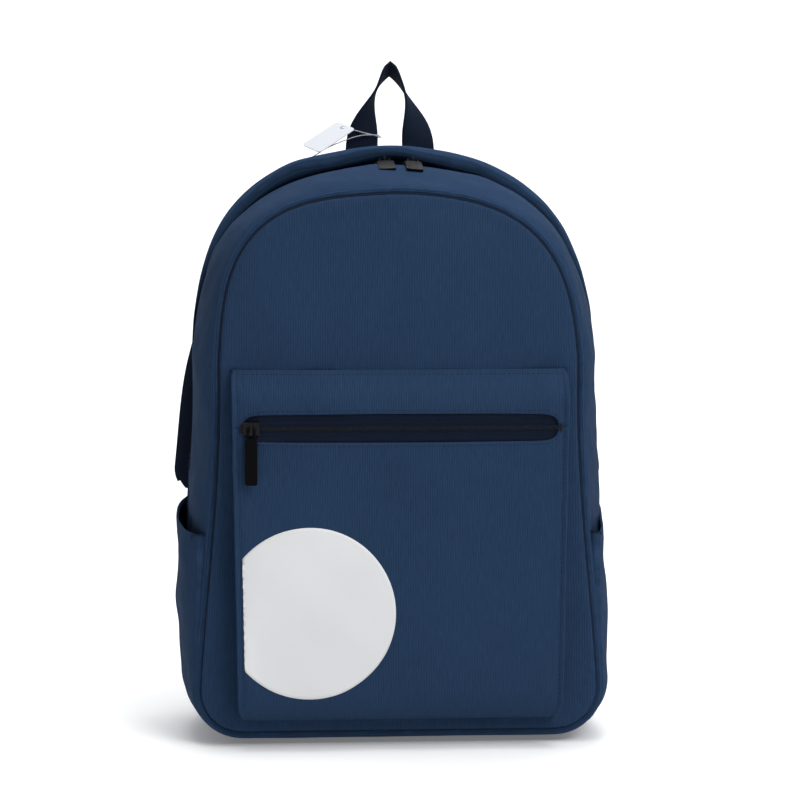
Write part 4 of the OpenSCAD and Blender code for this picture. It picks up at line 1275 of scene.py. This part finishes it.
uv = np.stack([width[:, None] * ring[None, :, 0], np.repeat(distances(path)[:, None], len(ring), 1)], -1)
carry = outward(sheet("carry_webbing", pts, webbing, uv, closed_v=True))
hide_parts("carry_loop")
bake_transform(carry)
bars = []
sideways = np.array([1.0, 0, 0])
for foot in (path[3], path[-4]):
    for dz in (-3.5, -1.5):
        row = foot + np.array([0, -1.0, dz]) * MM + np.linspace(-10, 10, 30)[:, None] * sideways * MM
        bars.append(stitches(row, forward, 1.4 * MM, 0.3 * MM, 0.3 * MM))
sew("loop_bar_tacks", bars, "pack", thread)

# %% [markdown]
# A blank card hangs from the loop's left leg on a clear filament. The filament's loose end runs out
# to the left over the top, and is the only free cord. It could hang by simulation, but it's stiff and
# short, so its path is drawn through a few points.

# %% The hang tag and its filament
def curve_through(points, n, closed=False):
    """A smooth path through points: a Catmull-Rom curve sampled evenly."""
    p = np.asarray(points, float)
    m = len(p)
    seg = m if closed else m - 1
    t = np.linspace(0, seg, n, endpoint=not closed)
    i = np.minimum(t.astype(int), seg - 1)
    u = (t - i)[:, None]
    idx = lambda k: p[(i + k) % m] if closed else p[np.clip(i + k, 0, m - 1)]
    a, b, c, d = idx(-1), idx(0), idx(1), idx(2)
    square, cube = 2 * a - 5 * b + 4 * c - d, 3 * b - a - 3 * c + d
    return 0.5 * (2 * b + (c - a) * u + square * u ** 2 + cube * u ** 3)


def tube(name, path, r, material, closed=False):
    """A round tube along a path."""
    if closed:
        path = np.concatenate([path, path[:1]])
    return sweep(name, path, np.array([0.13, 0.31, 0.94]), round_ring(r, r, 2, 10), material)


soften("hang_tag", "blank_tag", card_grey, 0.12 * MM, "hang_tag", 2)
ring_path = curve_through(np.array([
    [-36.3, 54.6, 447.6], [-28, 57.8, 446.2], [-18, 59.1, 443.6], [-8.0, 60.4, 441.2], [-7.2, 63.0, 440.8],
    [-12, 65.4, 441.2], [-24, 65.8, 443.2], [-34.8, 63.0, 445.8], [-37.6, 58.5, 447.4]]) * MM, 120, True)
ring_obj = tube("tag_filament", ring_path, 0.45 * MM, filament, True)
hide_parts("tag_loop")
fixed(ring_obj, "hang_tag")
tail_path = curve_through(np.array([
    [-8.0, 60.2, 442.4], [-24, 57.0, 441.6], [-45, 52.0, 434.0], [-62, 48.0, 424.5], [-84, 45.0, 415.5],
    [-104, 43.5, 404.5]]) * MM, 90)
tail_obj = tube("tag_filament_tail", tail_path, 0.4 * MM, filament)
fixed(tail_obj, "hang_tag")

# %% [markdown]
# The side pockets run from the front seam to the rear seam and round the lower corner. Their hems are
# turned over and stitched, stand a little open, and rise towards the back. They could be a copy of
# the side wall pushed outwards, but a pocket bulges most at half its width. So the lift is a bell in
# depth that grows with height, and the left one is stretched further.

# %% Side pockets
HEM_FRONT = 0.154  # the hem's height at the front seam, and at the rear seam
HEM_REAR = 0.170
HEM_COLUMN = 47  # where the hem is sewn down, 10 mm under its edge
SIDE_FRONT = FRONT_Y + 3.4 * MM
SIDE_REAR = REAR_Y - 2.6 * MM
LEFT_STRETCH = 5.5 * MM  # how much further the left pocket has been stretched than the right one

# The right wall from the corner of the base upwards
right = slice(len(front_line.p) // 2, len(front_line.p))
wall = front_line.p[right][::-1]
on_wall = (wall[:, 1] < 0.2) & ((wall[:, 1] > 0.004) | (wall[:, 0] > 0.118))
arc = wall[on_wall]
arc_n = front_line.n[right][::-1][on_wall]
arc_s = distances(arc)
arc_low = np.interp(0.012, arc[:, 1], arc_s)


def side_pocket(side, label):
    """A grid over the side wall: rows round the corner and up to the hem, with the hem standing out."""
    u = np.sin(np.linspace(-np.pi / 2, np.pi / 2, 46)) * 0.5 + 0.5
    v = np.concatenate([np.linspace(0, 0.93, 48), np.linspace(0.94, 1.0, 7)])
    y = mix(SIDE_FRONT, SIDE_REAR, u)
    wander = soft(np.stack([y, y * 0, y * 0], -1), 0.06, 70 + side)
    hem = mix(HEM_FRONT, HEM_REAR, ease(u)) + wander * 1.2 * MM
    top_s = np.interp(hem, arc[:, 1], arc_s)
    s = mix(arc_low, top_s[:, None], v[None])
    bell = np.clip(1 - np.abs(2 * u - 1) ** 3.4, 0, 1)[:, None]
    bulge = 3.6 * MM * v[None] ** 1.3 + 3.4 * MM * np.sin(v[None] * np.pi)
    out = 1.3 * MM + bulge * bell + 1.6 * MM * v[None] ** 3
    out = out + (LEFT_STRETCH if side < 0 else 0) * ease(v[None] / 0.75) * bell
    px = np.interp(s, arc_s, arc[:, 0])
    pz = np.interp(s, arc_s, arc[:, 1])
    nx = np.interp(s, arc_s, arc_n[:, 0])
    nz = np.interp(s, arc_s, arc_n[:, 1])
    yy = np.repeat(y[:, None], len(v), 1)
    front_draw = LOW_FRONT_DRAW * ((ZIP_Y - yy) / (ZIP_Y - FRONT_Y)) ** 2
    rear_draw = LOW_REAR_DRAW * ((yy - ZIP_Y) / (REAR_Y - ZIP_Y)) ** 2
    dr = np.where(yy < ZIP_Y, front_draw, rear_draw)
    p = np.stack([px + nx * (out - dr), yy, pz + nz * (out - dr)], -1)
    d_edge = np.minimum(yy - SIDE_FRONT, SIDE_REAR - yy)
    lift = sag(p, 2.2 * MM, 80 + side, 0.09) * ease(d_edge / 0.02) * ease((v[None] * 0.16) / 0.03)
    lift = lift + pucker(s, d_edge, 0.5 * MM, 0.012, 0.008, 90 + side)
    p[..., 0] += nx * lift
    p[..., 2] += nz * lift
    top_row = p[:, -1]
    n_top = np.stack([nx[:, -1], 0 * y, nz[:, -1]], -1)
    deep = (0.12 + 0.88 * ease(np.minimum(u, 1 - u) / 0.10))[:, None]
    turns = ((-0.6, 0.5), (-1.6, 0.1), (-2.0, -2.0), (-2.0, -9.0))
    roll = [top_row + (n_top * inward + np.array([0, 0, up])) * MM * deep for inward, up in turns]
    grid = np.concatenate([p] + [r[:, None] for r in roll], 1)
    tuck_f = grid[:1] - np.array([7.0, -1.0, 0]) * MM
    tuck_r = grid[-1:] - np.array([7.0, 1.0, 0]) * MM
    grid = np.concatenate([tuck_f, grid, tuck_r])
    s_all = np.concatenate([s, s[:, -1:] + np.array([[0.5, 1.2, 3.5, 10.0]]) * MM], 1)
    s_all = np.concatenate([s_all[:1], s_all, s_all[-1:]])
    y_all = np.concatenate([[y[0]], y, [y[-1]]])[:, None] + s_all * 0
    k = np.array([side, 1, 1])
    uv = np.stack([y_all, s_all], -1)
    obj = sheet("side_pocket_cloth_" + label, grid * k, [outer, lining], uv, away=(0, 0, 0.1))
    thicken(obj, 1.2 * MM, 1)
    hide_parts("side_pocket_" + label, "side_pocket_hem_" + label)
    fixed(obj)
    normal = np.stack([nx[:, HEM_COLUMN], 0 * y, nz[:, HEM_COLUMN]], -1) * k
    sew("side_pocket_stitching_" + label, [stitches(p[:, HEM_COLUMN] * k, normal)], "pack", thread)
    return obj


for side, label in ((-1, "left"), (1, "right")):
    made = side_pocket(side, label)
print("side pocket", len(made.data.polygons))

# %% [markdown]
# A piped seam runs all round the back, and the panel inside it carries the pads. It's the same fan as
# the front panel, on the rear outline. The piping is a round profile carried along the seam. It could
# be a bevel on the panel's edge, but a cord in its own cloth is what's sewn there.

# %% The back panel and its piping
outer_rolled = np.array([[2.6, -1.2], [2.1, -0.2], [2.4, 0.9], [3.4, 2.0], [5.0, 3.0], [7.5, 3.9]]) * MM
back_depth = lambda z, rho: REAR_Y + 3.9 * MM + 1.5 * MM * (1 - rho ** 4)
back_ks = np.concatenate([np.linspace(0.02, 0.2, 8), np.linspace(0.25, 0.97, 22), [1.0]])
PAD_BASE = REAR_Y + 5.4 * MM
back_p = fan(rear_line, outer_rolled, REAR_Y, back_ks, back_depth, (0.150, 0.283))
back_p[..., 1] += sag(back_p, 0.5 * MM, 101, 0.08)
back = sheet("back_panel_cloth", back_p, [outer, lining], back_p[..., [0, 2]], closed_u=True,
             away=(0, -0.3, 0.2))
thicken(merge(back), 1.4 * MM, 1)
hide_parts("back_panel")
fixed(back)
pipe_rim = rear_line.at(np.array([58.4 * MM]), 0.6 * MM)[:, 0]
piping = sweep("back_piping", np.concatenate([pipe_rim, pipe_rim[:1]]), np.array([0, 1.0, 0]),
               round_ring(1.7 * MM, 1.7 * MM, 2, 12), binding)
fixed(piping)

# %% [markdown]
# Three foam pads lie under the spacer mesh, with air channels between them. Each is full in the
# middle and drawn tight at its edge. A smooth box would look like plastic, so each pad is blown up as
# cloth with its rear half held. A pad that's wholly loose would pull its own outline in.

# %% Pads
MOST_SWELL = 7 * MM


def points_of(obj):
    """The points of a mesh as an array."""
    p = np.empty(len(obj.data.vertices) * 3)
    obj.data.vertices.foreach_get("co", p)
    return p.reshape(-1, 3)


def blow_up(obj):
    """Inflates a closed pad as cloth for twenty steps. No point moves by more than the cap.

    The pad's rear half is held still, because it's sewn to the back panel.
    """
    bpy.context.view_layer.objects.active = obj
    for o in bpy.context.selected_objects:
        o.select_set(False)
    obj.select_set(True)
    r = obj.modifiers.new("remesh", "REMESH")
    r.mode = "VOXEL"
    r.voxel_size = 4.5 * MM
    apply_all(obj)
    start = points_of(obj)
    g = obj.vertex_groups.new(name="seam")
    mid = (start[:, 1].max() + start[:, 1].min()) / 2
    g.add(np.nonzero(start[:, 1] < mid + 0.4 * MM)[0].tolist(), 1.0, "REPLACE")
    c = obj.modifiers.new("cloth", "CLOTH")
    c.settings.quality = 6
    c.settings.use_pressure = True
    c.settings.uniform_pressure_force = 4.0
    c.settings.tension_stiffness = 12
    c.settings.compression_stiffness = 12
    c.settings.bending_stiffness = 0.4
    c.settings.vertex_group_mass = g.name
    c.settings.effector_weights.gravity = 0
    c.point_cache.frame_start = 1
    c.point_cache.frame_end = 20
    for f in range(1, 21):
        bpy.context.scene.frame_set(f)
    apply_all(obj)
    bpy.context.scene.frame_set(1)
    move = points_of(obj) - start
    length = np.linalg.norm(move, axis=1, keepdims=True)
    end = start + move * np.minimum(1, MOST_SWELL / np.maximum(length, 1e-9))
    obj.data.vertices.foreach_set("co", end.ravel())
    s = obj.modifiers.new("smooth", "SUBSURF")
    s.levels = s.render_levels = 1
    apply_all(obj)
    obj.data.polygons.foreach_set("use_smooth", np.ones(len(obj.data.polygons), bool))
    return obj


def reshape(obj, change):
    """Moves the points of a mesh by a function of their positions."""
    obj.data.vertices.foreach_set("co", change(points_of(obj)).ravel())
    obj.data.update()
    return obj


def follow_arch(p):
    """Draws the pads' upper corners in along the arch."""
    k = np.clip((p[:, 2] - 0.283) / 0.12, 0, 1)
    p[:, 0] *= 1 - 0.45 * k ** 2
    return p


def press(p, low, high):
    """Holds points between two depths, easing them off softly near each limit."""
    y = p[:, 1]
    mid, h = (low + high) / 2, (high - low) / 2
    p[:, 1] = mid + h * np.tanh((y - mid) / h * 1.15) / np.tanh(1.15)
    return p


# Each pad's middle and half size, sideways and upwards, in millimetres
PADS = {"left": (-62, 262, 45, 100), "right": (62, 262, 45, 100), "low": (0, 96, 106, 48)}
pads = []
for label, (x, z, half_x, half_z) in PADS.items():
    centre = (x * MM, PAD_BASE + 1.2 * MM, z * MM)
    half_size = (half_x * MM, half_z * MM)
    pads.append(pillow("back_pad_" + label, centre, half_size, 9.0 * MM, mesh_cloth, 0.08, 8, 34))
for pad in pads:
    if pad is not pads[2]:
        reshape(pad, follow_arch)
    blow_up(pad)
    reshape(pad, lambda p: press(p, PAD_BASE - 5 * MM, 72.4 * MM))
    fixed(pad)
print("pads", [len(p.data.polygons) for p in pads])

# %% [markdown]
# The shoulder straps curve out and down from the yoke. Their middle line could be drawn by eye. A
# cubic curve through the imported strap's points is used, because the pad, its bindings, its stitching
# and its root all need the same line and the same sideways direction.

# %% Strap path
S0 = np.array([44, 78.5, 386]) * MM
S1 = np.array([98, 97, 364]) * MM
S2 = np.array([124, 116, 285]) * MM
S3 = np.array([140, 88.5, 168]) * MM
STRAP_W = 63 * MM
STRAP_T = 10 * MM


def strap_curve(t):
    """A cubic curve through the strap's four control points."""
    t = t[:, None]
    return (1 - t) ** 3 * S0 + 3 * (1 - t) ** 2 * t * S1 + 3 * (1 - t) * t * t * S2 + t ** 3 * S3


def strap_ribbon(t, u, h):
    """Points across the strap: u is sideways in half widths, and h is the height off its middle."""
    p = strap_curve(t)
    ahead = unit(strap_curve(t + 0.01) - strap_curve(t - 0.01))
    side = unit(np.cross(ahead, np.array([0, 1.0, 0])))
    out = unit(np.cross(side, ahead))
    out = out * np.sign(out[:, 1:2])
    w = STRAP_W / 2 * mix(1, 0.82, ease((t - 0.7) / 0.3))
    end = np.clip((t - 0.955) / 0.045, 0, 1)
    w = w * (1 - 0.32 * end ** 2.2)
    q = p[:, None] + side[:, None] * (w[:, None] * u)[..., None] + out[:, None] * h[..., None]
    return q, out, w

# %% [markdown]
# Each strap is a wide foam pad under cloth, bound along both edges, with spacer mesh against the
# shoulder. A box with a soft edge would have no crown. A closed section is swept along the curve:
# full in the middle, thin at the bound edges, and closed at both ends.

# %% The straps
def strap(side, label):
    """A closed padded section swept along the strap's curve: full in the middle, thin at the bound edges."""
    body = "shoulder_strap_" + label
    t = np.concatenate([np.linspace(0, 0.95, 90), np.linspace(0.955, 1.0, 10)])
    a = np.arange(44) * tau / 44
    u = np.sign(np.cos(a)) * np.abs(np.cos(a)) ** 0.45
    full = STRAP_T / 2 * (0.26 + 0.74 * np.clip(1 - np.abs(u) ** 5, 0, 1) ** 0.55)
    h = np.sign(np.sin(a)) * full * np.clip(np.abs(np.sin(a)) * 4, 0, 1)
    ends = np.clip(np.minimum(t / 0.03 + 0.3, (1 - t) / 0.03 + 0.28), 0, 1)
    hh = h[None] * ends[:, None]
    q, out, w = strap_ribbon(t, np.repeat(u[None], len(t), 0), hh)
    d = sag(q, 0.8 * MM, 111 + side, 0.06) * np.clip(1 - np.abs(u) ** 4, 0, 1)[None] * np.sign(hh)
    q = q + out[:, None] * d[..., None]
    mirror = np.array([side, 1, 1])
    q = q * mirror
    s = distances(strap_curve(t))
    uv = np.stack([u[None] * w[:, None] + 0 * s[:, None], s[:, None] + 0 * u[None]], -1)
    obj = closed_tube("strap_" + label, q, uv, [strap_cloth, mesh_cloth])
    n, m = q.shape[:2]
    under = (np.arange(n * m) % m >= m // 2)
    poly = np.zeros(len(obj.data.polygons), np.int32)
    first = np.array([min(p.vertices) for p in obj.data.polygons])
    middle = np.abs(u)[np.minimum(first, n * m - 1) % m] < 0.6
    poly[(first < n * m) & under[np.minimum(first, n * m - 1)] & middle] = 1
    obj.data.polygons.foreach_set("material_index", poly)
    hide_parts("strap_top_" + label, "strap_pad_" + label)
    fixed(obj, body)
    tt = np.linspace(0.0, 0.985, 110)
    for e, edge in ((-0.985, "inner"), (0.985, "outer")):
        row = strap_ribbon(tt, np.full((110, 1), e), np.zeros((110, 1)))[0][:, 0] * mirror
        b = sweep("strap_binding_" + edge + "_" + label, row, np.array([0, 1.0, 0]),
                  round_ring(2.4 * MM, 2.0 * MM, 3, 12), binding)
        fixed(b, body)
    rows = []
    tt = np.linspace(0.02, 0.97, 150)
    for e in (-0.87, 0.87):
        hgt = STRAP_T / 2 * (0.26 + 0.74 * (1 - abs(e) ** 5) ** 0.55)
        for lift in (1, -1):
            c, o = strap_ribbon(tt, np.full((150, 1), e), np.full((150, 1), lift * hgt))[:2]
            rows.append(stitches(c[:, 0] * mirror, o * mirror * lift))
    sew("strap_stitching_" + label, rows, body, dark_thread)
    return obj


for side, label in ((-1, "left"), (1, "right")):
    made = strap(side, label)
print("strap", len(made.data.polygons))

# %% [markdown]
# Webbing is flat, so it matters which way its width points. A curve with a bevel would choose that
# for itself. This helper takes the sideways direction from the caller and carries a flat section
# along the path.

# %% Flat webbing
def flat_web(name, path, wide, width_m=26 * MM, thick=1.6 * MM, material=webbing):
    """A flat woven strap along a path, with a given sideways direction."""
    t = unit(np.gradient(path, axis=0))
    wide = np.broadcast_to(wide, path.shape)
    wide = unit(wide - (wide * t).sum(-1, keepdims=True) * t)
    n = np.cross(t, wide)
    r = round_ring(width_m / 2, thick / 2, 7, 24)
    p = path[:, None] + wide[:, None] * r[None, :, :1] + n[:, None] * r[None, :, 1:]
    m, k = p.shape[:2]
    uv = np.stack([np.repeat(r[None, :, 0], m, 0), np.repeat(distances(path)[:, None], k, 1)], -1)
    return closed_tube(name, p, uv, material)

# %% [markdown]
# The root of each strap is a folded cloth end that comes out from under the yoke. It could be the
# strap's own first rows, but those swing with the strap. So it's a short piece of its own, fastened to
# no body.

# %% Strap roots
strap_start = unit(strap_curve(np.array([0.02])) - strap_curve(np.array([0.0])))[0]
across_start = np.cross(strap_start, np.array([0, 1.0, 0]))
root_path = curve_through(np.array([
    [18, 70.6, 399], [30, 73.6, 392.5], [44, 79.0, 386.5], [56, 82.2, 381.5]]) * MM, 40)
for side, label in ((-1, "left"), (1, "right")):
    k = np.array([side, 1, 1])
    root = flat_web("strap_root_" + label, root_path * k, across_start * k, 64.5 * MM, 5.2 * MM, outer)
    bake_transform(root)

# %% [markdown]
# At the foot of each strap a ladder lock takes the webbing, which comes up from a tab near the base
# and hangs on as a tail. The webbing could be one path. It's three, because each part moves in
# another way: the anchor and the tail go with the strap, and the loaded part, from the tab to the
# buckle, is fastened to no body.

# %% Buckles, their webbing and the tabs
WEB_X = 133 * MM  # the middle of the tabs, from the middle of the bag
TAB_Z = 41 * MM
backward = np.array([0, 1.0, 0])
anchor_path = curve_through(np.array([
    [133, 90.5, 190], [133, 90.6, 181], [133, 92.2, 176], [133, 90.6, 170.2], [133, 87.0, 170.5],
    [133, 84.4, 176], [133, 85.4, 181], [133, 86.5, 190]]) * MM, 60)
load_path = curve_through(np.array([
    [133, 74.0, 40], [133, 74.4, 62], [133, 79.2, 100], [133, 83.6, 140], [133, 84.6, 153],
    [133, 87.4, 159.6], [133, 91.6, 161.6], [133, 92.4, 156], [133, 92.6, 149]]) * MM, 90)
loose_path = curve_through(np.array([
    [133, 92.6, 149.5], [132.6, 94.6, 130], [132, 96.4, 106], [131.3, 96.6, 84], [130.9, 96.0, 66],
    [130.8, 95.8, 60]]) * MM, 70)

# Two rows across the tab and a cross between them: (x, z) ends from its middle line, in millimetres
tab_lines = (((-11, 28), (11, 28)), ((-10, 52), (10, 52)), ((-11, 28), (10, 52)), ((11, 28), (-10, 52)))
for side, label in ((-1, "left"), (1, "right")):
    body = "shoulder_strap_" + label
    k = np.array([side, 1, 1])
    soften("ladder_lock_" + label, "buckle_" + label, buckle_black, 0.9 * MM, body)
    anchor = flat_web("buckle_anchor_" + label, anchor_path * k, sideways)
    fixed(anchor, body)
    load = flat_web("strap_web_" + label, load_path * k, sideways)
    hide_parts("strap_webbing_" + label)
    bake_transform(load)
    loose = flat_web("strap_tail_" + label, loose_path * k, sideways, 26 * MM, 1.5 * MM)
    fixed(loose, body)
    fold_at = loose_path[-1] * k + np.array([0, 0.3, 1.5]) * MM
    fold = pillow("strap_tail_end_" + label, fold_at, (13.4 * MM, 4.5 * MM), 4.4 * MM, webbing, 0.04, 8, 18)
    fixed(fold, body)
    cx = side * WEB_X
    tab_size = (15.5 * MM, 17.5 * MM)
    tab = pillow("strap_tab_cloth_" + label, (cx, 71.2 * MM, TAB_Z), tab_size, 3.4 * MM, outer, 0.05, 8, 22)
    narrower = lambda p: cx + (p[:, 0] - cx) * (1 - 1.6 * (p[:, 2] - TAB_Z) / 0.2)
    reshape(tab, lambda p: np.stack([narrower(p), p[:, 1], p[:, 2]], -1))
    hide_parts("strap_tab_" + label)
    fixed(tab)
    rows = []
    for (x0, z0), (x1, z1) in tab_lines:
        ends = np.array([[side * 133 + x0, 73.0, z0], [side * 133 + x1, 73.0, z1]])
        rows.append(stitches(np.linspace(*ends, 20) * MM, backward))
    sew("strap_tab_stitching_" + label, rows, "pack", thread)

# %% [markdown]
# The yoke is a patch of outer cloth that covers the ends of the straps. It's a thin pillow, so that
# its edges turn in like a folded hem. Two rows of stitches run across it.

# %% The yoke
yoke = pillow("yoke_cloth", (0, 71.4 * MM, 0.386), (70.5 * MM, 14.5 * MM), 3.2 * MM, outer, 0.03, 10, 36)
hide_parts("yoke_patch")
fixed(yoke)
yoke_x = np.linspace(-66, 66, 60)
yoke_rows = [np.stack([yoke_x, np.full(60, 73.0), np.full(60, z)], -1) * MM for z in (375.5, 396.5)]
sew("yoke_stitching", [stitches(r, backward) for r in yoke_rows], "pack", thread)

# %% [markdown]
# Inside are a stiff board behind a lining, and a padded sleeve with a bound top edge. The sleeve is a
# pillow with a little unevenness. The board and the sleeve's sides are hardly seen, so the packed
# solids are kept and only take the lining's weave.

# %% The sleeve and the back board
sleeve_lo, sleeve_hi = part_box("laptop_sleeve")
middle = (sleeve_lo + sleeve_hi) / 2
size = sleeve_hi - sleeve_lo
sleeve = pillow("padded_sleeve", (0, middle.y - 0.5 * MM, middle.z), (size.x / 2, size.z / 2), 6.0 * MM,
                lining, 0.04, 10, 40)
reshape(sleeve, lambda p: p + np.stack([p[:, 0] * 0, soft(p, 0.08, 121) * 1.0 * MM, p[:, 0] * 0], -1))
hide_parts("laptop_sleeve")
fixed(sleeve)
bind_lo, bind_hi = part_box("sleeve_binding")
bind_path = np.linspace(bind_lo, bind_hi, 60)
bind_path[:, 1:] = ((bind_lo + bind_hi) / 2)[1:]
bind_path[:, 1] += soft(bind_path, 0.08, 121) * 0.6 * MM
sleeve_bind = sweep("sleeve_top_binding", bind_path, np.array([0, 0, 1.0]),
                    round_ring(2.7 * MM, 4.0 * MM, 4, 14), binding)
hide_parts("sleeve_binding")
fixed(sleeve_bind)
solid_lining = cloth("lining_solid", LINING, 0.5 * MM, 0.5 * MM, 0.25, 0.1, 0.05 * MM, 0.1, "Object")
for node in ("sleeve_gusset", "back_board"):
    for s in bpy.data.objects[node].material_slots:
        s.material = solid_lining

# %% [markdown]
# The floor is pale and curves up into a pale wall. A plane and a box would show a line between them.
# One sheet with a round bend has no line, and the light falls off along it evenly.

# %% Floor and backdrop
floor_mat, ft, fs = base_material("pale_floor", 0.8, specular=0.2)
mottled(ft, fs, 3.0, (0.86, 0.86, 0.865), (0.90, 0.90, 0.90))
fs.inputs["Emission Color"].default_value = (1, 1, 1, 1)
fs.inputs["Emission Strength"].default_value = 0.15
curve = np.linspace(0, np.pi / 2, 16)[1:]
fy = np.concatenate([np.linspace(-3.0, 1.2, 8), 1.2 + 1.2 * np.sin(curve), np.full(6, 2.4)])
fz = np.concatenate([np.zeros(8), 1.2 - 1.2 * np.cos(curve), np.linspace(1.6, 4.0, 6)])
fx = np.linspace(-4, 4, 12)
floor_p = np.stack(np.broadcast_arrays(fx[:, None], fy[None], fz[None]), -1)
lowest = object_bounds()[0][2]
floor_p[..., 2] += min(0.0, lowest) - 0.2 * MM
backdrop = sheet("backdrop", floor_p, floor_mat, floor_p[..., :2], away=(0, 0, -5))

# %% [markdown]
# A large soft key light comes from the upper right, with a weak fill from the left, a light overhead
# and one on the wall. A single sun would give hard shadows. Large squares give soft ones, and the sky
# is kept low, so that the folds of dark cloth can still be read.

# %% Lights
def area(name, place, aim, size, power):
    """A square area light that looks at a point."""
    light = bpy.data.lights.new(name, "AREA")
    light.energy = power
    light.size = size
    obj = bpy.data.objects.new(name, light)
    obj.location = place
    obj.rotation_euler = (Vector(aim) - Vector(place)).to_track_quat("-Z", "Y").to_euler()
    bpy.context.scene.collection.objects.link(obj)
    return obj


area("key", (1.0, -1.5, 1.8), (0, 0, 0.25), 1.2, 33)
area("fill", (-1.5, -1.9, 1.0), (0, 0, 0.2), 1.4, 1.2)
area("top", (0.2, -0.3, 2.2), (0, 0, 0.3), 1.2, 24)
area("wall_light", (0.0, 1.2, 2.6), (0, 2.4, 0.8), 2.0, 45)
world = bpy.data.worlds.new("studio") if bpy.context.scene.world is None else bpy.context.scene.world
bpy.context.scene.world = world
world.use_nodes = True
world.node_tree.nodes["Background"].inputs[0].default_value = (0.93, 0.96, 1.0, 1)
sky = world.node_tree
seen = put(sky, "ShaderNodeLightPath").outputs["Is Camera Ray"]
level = maths(sky, "ADD", 0.22, maths(sky, "MULTIPLY", seen, 0.84))
sky.links.new(level, sky.nodes["Background"].inputs[1])
bpy.context.scene.view_settings.view_transform = "Standard"

# %% [markdown]
# The camera stands two metres off with a long lens, a little to the left and a little above. A short
# lens close by would swell the pocket. From further away the bag keeps its real proportions.

# %% Camera
azimuth = np.radians(-3.4)
elevation = np.radians(5.0)
distance = 2.0
target = Vector((0.0041, 0.0, 0.2456))
flat = np.cos(elevation)
toward = Vector((np.sin(azimuth) * flat, -np.cos(azimuth) * flat, np.sin(elevation)))
camera = bpy.data.objects.new("camera", bpy.data.cameras.new("camera"))
camera.data.sensor_width = 36
camera.data.lens = 121
camera.location = target + toward * distance
camera.rotation_euler = (-toward).to_track_quat("-Z", "Y").to_euler()
bpy.context.scene.collection.objects.link(camera)
bpy.context.scene.camera = camera
camera.data.dof.use_dof = False
